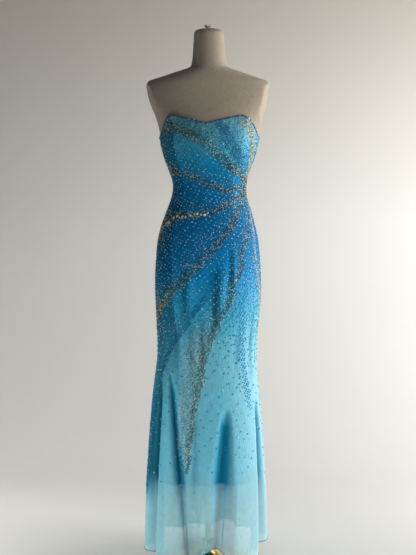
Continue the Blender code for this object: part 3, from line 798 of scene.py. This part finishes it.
def build_panels():
    for name, left_seam, right_seam, columns in PANELS:
        angles, heights = panel_places(left_seam, right_seam, columns)
        first, last = angles[:, :1], angles[:, -1:]
        turn = degrees_for(first, heights[:, :1], ALLOWANCE)
        end_turn = degrees_for(last, heights[:, -1:], ALLOWANCE)
        angles = np.concatenate(
            [first + turn, first + turn * 0.1, angles, last - end_turn * 0.1, last - end_turn], 1
        )
        heights = np.pad(heights, ((0, 0), (2, 2)), "edge")
        inset = np.zeros(angles.shape)
        inset[:, [0, -1]] = UNDER_FAR
        inset[:, [1, -2]] = UNDER_NEAR
        inset[:, [2, -3]] = SEAM_DRAW
        points = cloth_points(angles, heights, inset)
        obj = grid_object(name + "_cloth", points, CHIFFON)
        obj.data.set_sharp_from_angle(angle=math.radians(50))
        around = wrapped(angles)
        # Painted shade over the left side panels, which face away from the lamp: by height, and from the
        # thighs down only past the side.
        upper = np.interp(heights, *SIDE_PAINTED_SHADE_LEVELS)
        behind = np.interp(around, [-66, -55], [1.0, 0.0])
        upper *= np.maximum(behind, np.interp(heights, [0.5, 0.66], [0.0, 1.0]))
        painted_shade = np.maximum(painted_fold_shade(angles, heights), PANEL_PAINTED_SHADE.get(name, 0.0) * upper)
        # Painted light: the right side is coloured paler, less so where painted shade lies.
        painted_light = np.interp(angles % 360, *PAINTED_LIGHT_TURNS) * np.interp(heights, *PAINTED_LIGHT_LEVELS)
        # Painted shade over the left side's folds.
        shade = np.interp(around, *PAINTED_SHADE_TURNS) * np.interp(heights, *PAINTED_SHADE_LEVELS)
        # Painted shade over the raised middle of the front hem.
        hem_painted_shade = np.interp(around, *HEM_PAINTED_SHADE_TURNS) * np.interp(heights, *HEM_PAINTED_SHADE_LEVELS)
        keep_values(obj, "painted_shade", painted_shade)
        keep_values(obj, "pale", np.maximum(painted_light - 0.7 * painted_shade, 0))
        keep_values(obj, "stain", spray_fields(angles, heights)["blue"])
        keep_values(obj, "pucker", pucker_share(angles, heights))
        keep_values(obj, "shade", np.maximum(shade, hem_painted_shade))
        declare_sheet(name)


def build_rolled_hem():
    """A fine rolled edge round the whole hem."""
    count = 520
    sides = 8
    angle = np.linspace(0, 360, count, endpoint=False)
    at, out, _, up = cloth_frames(angle, np.full(count, HEM_HEIGHT + 0.0016))
    points = rings_along(at, out, up, 0.0011, sides)
    upper = (count - 1) * sides
    k = np.arange(sides)
    closing = np.stack([upper + k, k, (k + 1) % sides, upper + (k + 1) % sides], -1)
    faces = np.concatenate([grid_faces(count, sides, closed=True), closing])
    mesh_object("rolled_hem", points, faces, HEM_ROLL)


def build_lining():
    fold_up = LINING_HEM + np.array([0.0, 0.006, 0.012])
    heights = np.concatenate([np.linspace(LINING_TOP, LINING_HEM, 96), fold_up])
    share = (LINING_TOP - heights) / (LINING_TOP - LINING_HEM)
    inset = LINING_SEWN + (LINING_HEM_INSET - LINING_SEWN) * share
    inset[-3:] += 0.0012
    for name, start, span, columns in (
        ("lining_front", -90, 180, 130),
        ("lining_back_right", 90, 90, 66),
        ("lining_back_left", 180, 90, 66),
    ):
        angle = start + np.linspace(0, span, columns + 1)
        points = cloth_points(angle[None, :], heights[:, None], inset[:, None], LINING_FOLD_SHARE)
        obj = grid_object(name + "_cloth", points, LINING)
        declare_sheet(name)


# -------- neckline binding
BINDING_DROP = 0.0026  # from the neckline to the binding's middle
# How far out of and up the cloth each point of the binding's section lies.
BINDING_SECTION = [
    (-0.0019, -0.0024), (-0.0019, 0.0004), (-0.0016, 0.0027), (0.0002, 0.0033), (0.0012, 0.0024),
    (0.0016, 0.0006), (0.0013, -0.0014), (0.0004, -0.0026), (-0.0004, -0.0026),
]


def neckline_run(count):
    """Angles from one side of the zip round the front to the other."""
    gap = float(degrees_for(np.array(180.0), np.array(1.33), ZIP_HALF_WIDTH + 0.0004))
    return np.linspace(180 + gap, 540 - gap, count)


def build_binding():
    angle = neckline_run(420)
    at, out, _, up = cloth_frames(angle, neckline_height(angle) - BINDING_DROP)
    points = np.stack([at + out * o + up * u for o, u in BINDING_SECTION], 1)
    obj = grid_object("neckline_binding", points, BINDING)
    declare_sheet("neckline_edging")


# -------- beads
def gem_shape(sides):
    """A flat-backed cut stone: a girdle and a smaller table, one unit in radius."""
    turn = np.linspace(0, 2 * math.pi, sides, endpoint=False)
    half = math.pi / sides
    table = 0.6
    girdle = np.stack([np.cos(turn), np.sin(turn), np.zeros(sides)], -1)
    crown = np.stack([table * np.cos(turn + half), table * np.sin(turn + half), np.ones(sides)], -1)
    k = np.arange(sides)
    following = (k + 1) % sides
    rim = np.stack([k, following, sides + k], -1)
    star = np.stack([following, sides + following, sides + k], -1)
    top = np.stack([np.full(sides - 2, sides), sides + 1 + k[:-2], sides + 2 + k[:-2]], -1)
    return np.concatenate([girdle, crown]), np.concatenate([rim, star, top])


def add_stones(name, angle, height, radius, rise, material, sides, lift=0.0):
    """Many stones on the cloth as one piece, each turned and toned its own way."""
    shape, faces = gem_shape(sides)
    at, out, side, up = cloth_frames(angle, height)
    at = at + out * lift
    count = len(angle)
    spin = rng.uniform(0, 2 * math.pi, count)
    lean = rng.normal(0, 0.12, (count, 2))
    out = unit(out + side * lean[:, :1] + up * lean[:, 1:])
    side = unit(np.cross(up, out))
    up = np.cross(out, side)
    radius = np.broadcast_to(radius, count)
    c, s = np.cos(spin)[:, None], np.sin(spin)[:, None]
    x = side * c + up * s
    y = up * c - side * s
    points = (
        at[:, None, :]
        + (x[:, None, :] * shape[None, :, :1] + y[:, None, :] * shape[None, :, 1:2])
        * radius[:, None, None]
        + out[:, None, :] * (shape[None, :, 2:] * rise * radius[:, None, None] + 0.0001)
    )
    offset = (np.arange(count) * len(shape))[:, None, None]
    faces = (faces[None] + offset).reshape(-1, 3)
    obj = mesh_object(name, points, faces, material, smooth=False)
    keep_values(obj, "tone", np.repeat(rng.uniform(0, 1, count), len(shape)))


# Each spray of beads: its kind, the widths of its dense band and of its fade on the side it fades
# to (1 is above or left of the way out, -1 is the other), its strength, its width at its end, and
# the (angle, height) points of its crisp lower edge, out from the right waist.
SPRAYS = [
    ("silver", 0.024, 0.06, 1, 1.0, 1.2,
     [(72, 1.188), (61, 1.212), (44, 1.23), (29, 1.242), (17, 1.257), (10, 1.275), (2, 1.29),
      (-5, 1.317), (-18, 1.341), (-26, 1.353), (-37, 1.362), (-55, 1.36), (-71, 1.359)]),
    ("silver", 0.018, 0.055, 1, 1.0, 1.5,
     [(75, 1.191), (48, 1.188), (23, 1.176), (14, 1.185), (4, 1.191), (-4, 1.194), (-12, 1.209),
      (-27, 1.221), (-46, 1.23), (-70, 1.233), (-88, 1.254), (-100, 1.275)]),
    ("pale", 0.028, 0.052, 1, 0.95, 1.0,
     [(84, 1.194), (70, 1.23), (63, 1.266), (56, 1.305), (50, 1.335), (44, 1.353), (34, 1.374),
      (27, 1.395)]),
    ("silver", 0.019, 0.06, 1, 1.0, 2.0,
     [(81, 1.176), (52, 1.161), (36, 1.146), (25, 1.137), (18, 1.125), (8, 1.116), (-1, 1.11),
      (-9, 1.104), (-22, 1.101), (-37, 1.098), (-49, 1.089), (-63, 1.074), (-78, 1.056),
      (-96, 1.03)]),
    ("silver", 0.023, 0.085, 1, 1.0, 1.5,
     [(68, 1.176), (58, 1.145), (44, 1.113), (29, 1.071), (21, 1.05), (13, 1.023), (6, 1.002),
      (3, 0.981), (-3, 0.963), (-11, 0.939), (-20, 0.915), (-29, 0.888), (-40, 0.864),
      (-50, 0.834), (-65, 0.798), (-84, 0.76)]),
    ("blue", 0.017, 0.08, 1, 0.95, 1.0,
     [(10, 0.939), (2, 0.882), (-3, 0.846), (-11, 0.816), (-19, 0.777), (-27, 0.753),
      (-38, 0.714), (-48, 0.672), (-54, 0.639), (-57, 0.594), (-61, 0.546), (-64, 0.492),
      (-66, 0.414), (-69, 0.318), (-72, 0.25)]),
    ("silver", 0.016, 0.088, 1, 1.0, 0.7,
     [(75, 1.17), (72, 1.152), (67, 1.107), (59, 1.074), (48, 1.029), (41, 0.996), (39, 0.954),
      (33, 0.921), (27, 0.9), (25, 0.864), (22, 0.834), (15, 0.81), (10, 0.774), (6, 0.741),
      (2, 0.708), (-1, 0.669), (-2, 0.642), (-2, 0.6), (-5, 0.576), (-7, 0.543), (-10, 0.498),
      (-10, 0.45), (-13, 0.411), (-13, 0.363), (-15, 0.333)]),
    ("pale", 0.013, 0.034, 1, 0.9, 0.6,
     [(86, 1.16), (80, 1.134), (73, 1.105), (70, 1.08), (66, 1.032), (66, 0.984), (68, 0.945),
      (71, 0.906), (75, 0.87), (79, 0.831), (82, 0.792), (78, 0.75)]),
    ("stone", 0.024, 0.06, 1, 1.0, 0.8,
     [(47, 1.0), (46, 0.912), (44, 0.861), (42, 0.819), (42, 0.774), (44, 0.726), (46, 0.678),
      (48, 0.639), (50, 0.597), (53, 0.561), (53, 0.528)]),
    ("blue", 0.03, 0.062, -1, 1.0, 1.0,
     [(5, 1.389), (6, 1.374), (9, 1.362), (12, 1.341), (16, 1.32), (23, 1.296), (33, 1.269)]),
]
KINDS = ("silver", "pale", "blue", "stone")
WAIST_SASH = SPRAYS[3][-1]
LONG_SPRAY = SPRAYS[6][-1]
KNOT = (75.0, 1.187)
RANK_TILE = 24
ROW_STEP = 0.87  # from one row of beads to the next, in pitches
ROW_SLANT = 0.35  # the rows of beads rise towards the left, along the sprays
ROW_SPILL = 0.15  # so that slanted rows start and end past the gown
GOWN_TOP = 1.41
CLEAR_NECK = 0.007  # cloth without beads below the binding, above the hem and beside the zip
CLEAR_HEM = 0.012
CLEAR_ZIP = 0.007
SCALLOP_DEPTH = 0.0045  # of a spray's crisp edge
SCALLOP_STEP = 0.024
PUCKER_BAND = (0.06, 0.115)  # widths of the puckered band beside the long spray and of its fade


def mirrored(points):
    """The same spray wrapped round the right waist on to the back."""
    return [(180 - angle, height) for angle, height in points]


def metres_per_degree(height):
    """Mean distance round the body for one degree."""
    girth = 0.5 * (ring(HALF_WIDTH, height) + 0.5 * (ring(FRONT, height) + ring(BACK, height)))
    return girth * math.pi / 180 * 1.08


def spray_density(angle, height, points, core, fade, way, end):
    """How thickly a spray covers each place: full at its crisp edge, fading off one side."""
    scale = metres_per_degree(height)
    best = np.full(angle.shape, 9.0)
    signed = np.full(angle.shape, 9.0)
    along = np.zeros(angle.shape)
    run = 0.0
    for (a0, h0), (a1, h1) in zip(points[:-1], points[1:]):
        px = wrapped(angle - a0) * scale
        pz = height - h0
        sx = (a1 - a0) * scale
        sz = h1 - h0
        length = np.hypot(sx, sz)
        t = np.clip((px * sx + pz * sz) / length**2, 0, 1)
        distance = np.hypot(px - t * sx, pz - t * sz)
        cross = sx * pz - sz * px
        closer = distance < best
        best = np.where(closer, distance, best)
        signed = np.where(closer, np.sign(cross) * distance, signed)
        along = np.where(closer, run + t * length, along)
        run += float(np.mean(length))
    share = along / run
    width = np.interp(share, [0, 0.15, 0.4, 0.7, 1.0], [0.5, 0.8, 1.0, 1.0, end])
    scallop = SCALLOP_DEPTH * np.abs(np.sin(math.pi * along / SCALLOP_STEP))
    depth = -signed * way + scallop
    inside = np.clip(1 - (depth - core * width) / ((fade - core) * width), 0, 1)
    dense = np.where(depth < core * width, 1.0, 0.55 * inside**2)
    beyond_tip = (share <= 0.0) | (share >= 1.0)
    dense = np.where(beyond_tip & (best > core * width), 0.0, dense)
    return np.where(depth < -0.0008, 0.0, dense)


def spray_fields(angle, height):
    """How thickly each kind of bead covers each place."""
    fields = {kind: np.zeros(angle.shape) for kind in KINDS}
    for kind, core, fade, way, strength, end, points in SPRAYS:
        for route, side in ((points, way), (mirrored(points), -way)):
            field = strength * spray_density(angle, height, route, core, fade, side, end)
            fields[kind] = np.maximum(fields[kind], field)
    off = np.hypot(wrapped(angle - KNOT[0]) * metres_per_degree(height), height - KNOT[1])
    fields["silver"] = np.maximum(fields["silver"], 0.7 * np.exp(-((off / 0.045) ** 2)))
    return fields


def pucker_share(angle, height):
    """Where the cloth puckers most, and where the puckers get their painted highlight: in the fade of the
    long spray.
    """
    spray = np.maximum(
        spray_density(angle, height, LONG_SPRAY, *PUCKER_BAND, 1, 1.0),
        spray_density(angle, height, mirrored(LONG_SPRAY), *PUCKER_BAND, -1, 1.0),
    )
    lower = np.interp(height, [0.3, 0.4, 0.72, 0.85], [0.0, 1.0, 1.0, 0.0])
    return PUCKER_LEAST + (1 - PUCKER_LEAST) * lower * spray


def even_ranks(size):
    """An order for a tile of lattice places in which every next place is the farthest one."""
    row, column = np.divmod(np.arange(size * size), size)
    across = column + 0.5 * (row % 2)
    down = row * ROW_STEP
    nearest = rng.uniform(8.0, 8.5, size * size)
    ranks = np.zeros(size * size)
    for step in range(size * size):
        pick = int(np.argmax(nearest))
        ranks[pick] = (step + 0.5) / (size * size)
        dx = np.abs(across - across[pick])
        dx = np.minimum(dx, size - dx)
        dy = np.abs(down - down[pick])
        dy = np.minimum(dy, size * ROW_STEP - dy)
        nearest = np.minimum(nearest, np.hypot(dx, dy) + rng.uniform(0, 0.05, size * size))
        nearest[pick] = -1.0
    return ranks.reshape(size, size)


RANKS = even_ranks(RANK_TILE)


def bead_lattice(pitch, shake=0.14):
    """A jittered lattice of places for beads over the whole gown, and each place's rank."""
    angles, heights, ranks = [], [], []
    level = HEM_HEIGHT - ROW_SPILL
    row = 0
    while level < GOWN_TOP + ROW_SPILL:
        scale = float(metres_per_degree(np.array(level)))
        count = int(360 * scale / pitch)
        place = np.arange(count) - count // 2
        angle = (place + 0.5 * (row % 2)) * 360 / count
        ranks.append(RANKS[row % RANK_TILE, place % RANK_TILE])
        angles.append(angle + rng.uniform(-shake, shake, count) * pitch / scale)
        rise = -ROW_SLANT * scale * angle
        heights.append(level + rise + rng.uniform(-shake, shake, count) * pitch)
        level += pitch * ROW_STEP
        row += 1
    angle = np.concatenate(angles)
    height = np.concatenate(heights)
    rank = np.concatenate(ranks)
    inside = (height < neckline_height(angle) - CLEAR_NECK) & (height > HEM_HEIGHT + CLEAR_HEM)
    off_zip = (180 - np.abs(wrapped(angle))) * 0.002 > CLEAR_ZIP
    keep = inside & (off_zip | (height < ZIP_FOOT - 0.01))
    return angle[keep], height[keep], rank[keep]


DOT_LEVELS = ([0.58, 0.7, 0.82, 0.95, 1.25, 1.33, 1.41], [0.0, 0.12, 0.5, 0.8, 0.85, 0.6, 0.3])
SINGLE_LEVELS = ([0.3, 0.45, 0.75, 0.9, 1.25, 1.41], [0.0, 0.08, 0.3, 0.85, 0.85, 0.5])
WIDE_LEVELS = ([0.26, 0.36, 0.5, 0.78, 0.84], [0.0, 0.5, 0.85, 0.85, 0.0])
# Each kind of bead: name, pitch of its lattice, radius, spread of its radius, rise, glass, sides,
# the sprays that it fills or its chance by height, and the sprays that leave no room for it
# where they are thicker than a limit.
BEAD_KINDS = [
    ("silver_beads", 0.0034, 0.0015, 0.16, 0.75, SILVER_GLASS, 5, "silver", (), 1.0),
    ("pale_beads", 0.0034, 0.0015, 0.16, 0.75, PALE_GLASS, 5, "pale", ("silver",), 0.5),
    ("blue_beads", 0.005, 0.0019, 0.14, 0.75, BLUE_GLASS, 5, "blue", ("silver", "pale"), 0.3),
    ("blue_dots", 0.0072, 0.0019, 0.12, 0.75, BLUE_GLASS, 5, DOT_LEVELS, KINDS, 0.25),
    ("single_stones", 0.0125, 0.0018, 0.2, 0.6, AQUA_GLASS, 6, SINGLE_LEVELS, ("silver", "pale"), 0.3),
    ("blue_stones", 0.0086, 0.003, 0.1, 0.6, STONE_GLASS, 6, "stone", (), 1.0),
    ("wide_set_stones", 0.029, 0.003, 0.12, 0.6, STONE_GLASS, 6, WIDE_LEVELS, ("silver", "stone"), 0.15),
]


def build_beads():
    for name, pitch, radius, spread, rise, glass, sides, fills, covers, limit in BEAD_KINDS:
        angle, height, rank = bead_lattice(pitch)
        fields = spray_fields(angle, height)
        chance = fields[fills] if isinstance(fills, str) else np.interp(height, *fills)
        chance = np.where(sum(fields[kind] for kind in covers) > limit, 0.0, chance)
        kept = (rank + rng.uniform(-0.03, 0.03, len(angle)) < chance) & (chance > 0.02)
        angle, height = angle[kept], height[kept]
        front = np.abs(wrapped(angle)) < 90
        for part, where in (("_front", front), ("_back", ~front)):
            size = radius * rng.uniform(1 - spread, 1 + spread, int(where.sum()))
            add_stones(
                name + part, angle[where], height[where], size, rise, glass, sides
            )


def run_along(points):
    """The distance along a line of points, at each."""
    steps = np.linalg.norm(np.diff(points, axis=0), axis=-1)
    return np.concatenate([[0], np.cumsum(steps)])


# Bright large stones along the crisp edge of the waist's sash of beads, and its mirror.
SASH_STONE_STEP = 0.0115
SASH_STONES = (0.42, 0.86)  # where along the sash they begin and end
SASH_RADII = [0.003, 0.0037, 0.0046]
NECK_STONE_STEP = 0.0145


def build_sash_stones():
    for name, route in (("sash_stones_front", WAIST_SASH), ("sash_stones_back", mirrored(WAIST_SASH))):
        along = np.linspace(0, 1, 400)
        knots = np.linspace(0, 1, len(route))
        angle, height = (np.interp(along, knots, column) for column in zip(*route))
        run = run_along(cloth_points(angle, height))
        start, end = (run[-1] * share for share in SASH_STONES)
        places = np.arange(start, end, SASH_STONE_STEP)
        places = places + rng.uniform(-0.003, 0.003, len(places))
        spot = np.interp(places, run, angle)
        level = np.interp(places, run, height) + rng.uniform(0.001, 0.012, len(places))
        size = rng.choice(SASH_RADII, len(places))
        add_stones(name, spot, level, size, 0.5, CRYSTAL, 7)


def build_neckline_stones():
    angle = neckline_run(1400)
    run = run_along(cloth_points(angle, neckline_height(angle) - BINDING_DROP))
    places = np.arange(0.012, run[-1] - 0.01, NECK_STONE_STEP)
    spot = np.interp(places, run, angle)
    height = neckline_height(spot) - BINDING_DROP
    size = np.where(np.arange(len(places)) % 2 == 0, 0.0023, 0.0015)
    add_stones("neckline_stones", spot, height, size, 0.7, GOLD_STONES, 6, lift=0.0016)


# -------- centre back zip
# Distances across the tape from its middle, and how far each lies inside the cloth's face.
TAPE_ACROSS = [-0.012, -0.008, -0.004, -0.0031, -0.0024, -0.0012, 0.0]
TAPE_INSET = [0.0018, 0.0017, 0.0016, 0.0013, 0.0008, 0.0005, 0.0004]
COIL_PITCH = 0.0011
COIL_STEPS = 8  # in each turn of the coil
COIL_THREAD = 0.00026  # radius of its nylon


def build_zip():
    heights = np.concatenate([np.linspace(1.321, ZIP_FULL_TO, 120), np.linspace(1.028, 0.982, 18)])
    centre = seam_angle("centre_back", heights)
    one = degrees_for(centre, heights, 0.006)[:, None] / 0.006
    across = np.array(TAPE_ACROSS + [-d for d in TAPE_ACROSS[-2::-1]])
    inset = np.array(TAPE_INSET + TAPE_INSET[-2::-1])
    angle = centre[:, None] + one * across[None, :]
    points = cloth_points(angle, heights[:, None], inset[None, :])
    tape = grid_object("zip_tape_cloth", points, ZIP_WEAVE)
    declare_sheet("zip_tape")
    build_zip_coil(heights[0] - 0.004, heights[-1] + 0.003)


def build_zip_coil(top, foot):
    """The nylon coil down the middle of the tape."""
    step = np.arange(int((top - foot) / COIL_PITCH) * COIL_STEPS)
    heights = top - step / COIL_STEPS * COIL_PITCH
    phase = (step / COIL_STEPS * 2 * math.pi)[:, None]
    at, out, side, _ = cloth_frames(seam_angle("centre_back", heights), heights)
    line = at + side * (0.00115 * np.cos(phase)) + out * (0.0001 + 0.0004 * np.sin(phase))
    along = unit(np.gradient(line, axis=0))
    across = unit(np.cross(along, out))
    points = rings_along(line, across, np.cross(along, across), COIL_THREAD, 4)
    grid_object("zip_coil", points, ZIP_NYLON, closed=True)


# -------- dress form and stand
GATHERS = 22  # of the jersey round the top of the neck
# share of the neck's radius, height over its rim, share of the gathers
NECK_CAP = [
    (0.16, 0.0125, 1.0), (0.3, 0.012, 1.0), (0.45, 0.0112, 0.8), (0.62, 0.01, 0.5),
    (0.78, 0.008, 0.3), (0.9, 0.005, 0.1), (0.97, 0.0022, 0.0),
]
# Tips of the tie's tuft: angle, reach, lift.
TIE_TIPS = [
    (-10, 0.013, 0.006), (35, 0.009, 0.0095), (80, 0.011, 0.005), (128, 0.007, 0.012),
    (172, 0.012, 0.0075), (215, 0.008, 0.011), (262, 0.011, 0.0055), (305, 0.009, 0.0085),
]


def build_form():
    columns = 112
    angle = np.linspace(0, 360, columns, endpoint=False)[None, :]
    bare = np.concatenate(
        [np.linspace(1.657, 1.572, 16), np.linspace(1.568, 1.5, 30), np.linspace(1.496, 1.42, 20)]
    )[:, None]
    top = neckline_height(angle)
    rise = 1.415 + (top - 1.415) * np.linspace(0, 1, 8)[:, None]
    covered = top + (0.867 - top) * np.linspace(0, 1, 60)[1:, None]
    heights = np.concatenate([np.repeat(bare, columns, 1), rise, covered])
    points = body_points(np.repeat(angle, len(heights), 0), heights, FORM_GAP)
    foot, base = (
        body_points(angle[0], np.full(columns, height), FORM_GAP + inset)[None]
        for height, inset in ((0.8585, 0.004), (0.855, 0.012))
    )
    inner = base * np.array([0.3, 0.3, 1.0])
    rim = points[0]
    centre = rim.mean(0)
    wave = np.sin(np.radians(angle[0]) * GATHERS)
    caps = []
    for share, up, pucker in NECK_CAP:
        row = centre + (rim - centre) * (share * (1 + 0.03 * wave[:, None] * pucker))
        row[:, 2] = rim[:, 2] + up + 0.0006 * pucker * wave
        caps.append(row)
    grid = np.concatenate([np.array(caps), points, foot, base, inner])
    form = grid_object("form_torso", grid, JERSEY, closed=True)
    close_ends(form)
    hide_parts("dress_form")
    build_neck_tie(centre + np.array([-0.004, 0, 0.0125]))


def build_neck_tie(at):
    """The small uneven tuft where the gathered jersey is tied on top of the neck."""
    count = 96
    turn = np.linspace(0, 360, count, endpoint=False)
    near = np.abs(np.cos(np.radians((turn + 10) * 4))) ** 1.5
    places, reaches, lifts = zip(*TIE_TIPS)
    reach = near * np.interp(turn, places, reaches, period=360)
    lift = near * np.interp(turn, places, lifts, period=360)
    rows = []
    for share, level in ((0.0, 0.0), (0.35, 0.15), (0.6, 0.45), (0.85, 0.8), (1.0, 1.0)):
        spread = 0.0035 + (reach - 0.0035 * near) * share**1.6
        rows.append((spread, -0.0015 + 0.0035 * share + lift * level))
    for share, level in ((0.75, 0.8), (0.45, 0.45), (0.2, 0.3), (0.02, 0.28)):
        spread = 0.0026 * share + reach * share**1.6
        rows.append((spread, 0.0012 + 0.003 * share + lift * level))
    turn = np.radians(turn)
    points = np.array(
        [at + np.stack([spread * np.cos(turn), spread * np.sin(turn), rise], -1) for spread, rise in rows]
    )
    close_ends(grid_object("neck_tie_knot", points, JERSEY, closed=True))


def turned(name, profile, node, columns=128):
    """A profile of (radius, height) pairs, top to bottom, turned about the pole's axis."""
    radius, height = (np.array(column)[:, None] for column in zip(*profile))
    turn = np.linspace(0, 2 * math.pi, columns, endpoint=False)[None, :]
    level = np.repeat(height, columns, 1)
    points = np.stack([radius * np.cos(turn), radius * np.sin(turn), level], -1)
    obj = grid_object(name, points, BRASS, closed=True)
    close_ends(obj)
    obj.data.set_sharp_from_angle(angle=math.radians(38))
    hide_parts(node)


POLE_TOP = 0.8547
# Radius and distance below the top, down to the pole itself.
POLE_HEAD = [
    (0.0002, 0.0), (0.044, 0.0), (0.045, 0.0008), (0.045, 0.0042), (0.044, 0.005),
    (0.023, 0.0066), (0.0185, 0.008), (0.016, 0.011), (0.016, 0.043), (0.0152, 0.0446),
    (0.0106, 0.047), (0.01, 0.048),
]
POLE_FOOT = [(0.01, 0.48), (0.01, 0.0754), (0.0002, 0.0754)]
BASE_COLLAR = [
    (0.0002, 0.075), (0.0155, 0.075), (0.0172, 0.0744), (0.018, 0.073), (0.018, 0.056), (0.0184, 0.0525)
]
BASE_RIM = [
    (0.135, 0.0082), (0.1382, 0.0074), (0.1396, 0.006), (0.14, 0.004), (0.1396, 0.0016),
    (0.1386, 0.0004), (0.137, 0.0), (0.0002, 0.0),
]


def build_stand():
    head = [(radius, POLE_TOP - below) for radius, below in POLE_HEAD]
    turned("stand_pole", head + POLE_FOOT, "pole")
    sweep = []
    for step in range(1, 33):
        share = step / 32
        radius = 0.018 + (0.14 - 0.018) * share**1.5 * 0.93
        sweep.append((radius, 0.0087 + (0.053 - 0.0087) * (1 - share) ** 2.6))
    turned("stand_base", BASE_COLLAR + sweep + BASE_RIM, "round_base")


# -------- stage, lights, camera
def stage_material():
    """A pale surface with painted shade that darkens it high up, and clear from behind so that all sides
    can be seen.
    """
    material, tree, shader = new_material("pale_floor", Roughness=0.8)
    pale = linear((0.9, 0.895, 0.88))
    patches = grouped(tree, MOTTLE, Colour=pale, Amount=0.02, Scale=3.0)
    # Painted shade: the sweep is coloured darker high up.
    painted_shade_high_up = ramp(
        tree,
        in_range(tree, object_parts(tree)["Z"], 0.0, 2.4),
        [(0.0, (1, 1, 1, 1)), (0.4, (0.98, 0.98, 0.97, 1)), (0.85, (0.7, 0.66, 0.6, 1))],
    )
    behind = add_node(tree, "NewGeometry").outputs["Backfacing"]
    shaded = mix(tree, 1.0, patches["Colour"], painted_shade_high_up, "MULTIPLY")
    feed(tree, shader, Base_Color=shaded, Alpha=calc(tree, "SUBTRACT", 1.0, behind))
    return material


def build_stage():
    """A pale floor that sweeps up into a pale backdrop."""
    profile = [(-3.5, 0.0), (0.9, 0.0)]
    for step in range(1, 13):
        turn = math.pi / 2 * step / 12
        profile.append((0.9 + 0.8 * math.sin(turn), 0.8 - 0.8 * math.cos(turn)))
    profile.append((1.7, 3.4))
    points = [(x, y, z) for y, z in profile for x in (-4.0, 4.0)]
    faces = [(2 * k, 2 * k + 1, 2 * k + 3, 2 * k + 2) for k in range(len(profile) - 1)]
    mesh = bpy.data.meshes.new("pale_sweep")
    mesh.from_pydata(points, [], faces)
    mesh.update()
    mesh.shade_smooth()
    sweep = bpy.data.objects.new("pale_sweep", mesh)
    bpy.context.scene.collection.objects.link(sweep)
    mesh.materials.append(stage_material())


def place_towards(name, data, place, aim):
    """A light or camera at a place, facing another."""
    obj = bpy.data.objects.new(name, data)
    bpy.context.scene.collection.objects.link(obj)
    obj.location = place
    obj.rotation_euler = (Vector(aim) - Vector(place)).to_track_quat("-Z", "Y").to_euler()
    return obj


# name, place, aim, size, power, colour
SOFTBOXES = [
    ("window_right", (2.7, -0.75, 1.55), (0, 0, 0.85), (1.3, 2.2), 74, (1.0, 0.98, 0.96)),
    ("fill_front", (-0.8, -3.6, 1.9), (0, 0, 0.9), (1.6, 1.6), 3.5, (0.95, 0.97, 1.0)),
    ("floor_glow", (-1.15, 0.05, 0.95), (-1.15, 0.05, 0), (0.9, 0.9), 9, (1.0, 1.0, 0.98)),
    ("hem_bounce", (-0.85, -0.95, 0.14), (0, 0, 0.12), (0.5, 0.2), 3, (1.0, 1.0, 0.99)),
    ("wall_wash", (1.9, 0.55, 1.3), (0.0, 1.7, 0.5), (0.9, 0.9), 20, (1.0, 0.99, 0.97)),
]


def build_lights():
    for name, place, aim, size, power, colour in SOFTBOXES:
        light = bpy.data.lights.new(name, "AREA")
        light.shape = "RECTANGLE"
        light.size, light.size_y = size
        light.energy = power
        light.color = colour
        place_towards(name, light, place, aim)
    world = bpy.data.worlds.new("soft_room")
    world.use_nodes = True
    background = world.node_tree.nodes["Background"]
    background.inputs["Color"].default_value = (0.86, 0.9, 0.95, 1)
    background.inputs["Strength"].default_value = 0.08
    bpy.context.scene.world = world
    bpy.context.scene.view_settings.view_transform = "Standard"


def build_camera():
    camera = bpy.data.cameras.new("photo_view")
    camera.lens = 80.04
    camera.sensor_width = 36.0
    camera.sensor_fit = "AUTO"
    camera.clip_start = 0.05
    camera.clip_end = 50.0
    view = place_towards("photo_view", camera, (0.0, -3.8, 1.35), (0.0, 0.0, 0.91))
    bpy.context.scene.camera = view


# -------- build
build_camera()
build_stage()
build_lights()
build_panels()
build_rolled_hem()
build_lining()
build_binding()
build_beads()
build_sash_stones()
build_neckline_stones()
build_zip()
build_form()
build_stand()

for label in ("zip_slider", "zip_pull"):
    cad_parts[label].data.materials.clear()
    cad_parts[label].data.materials.append(ENAMEL)
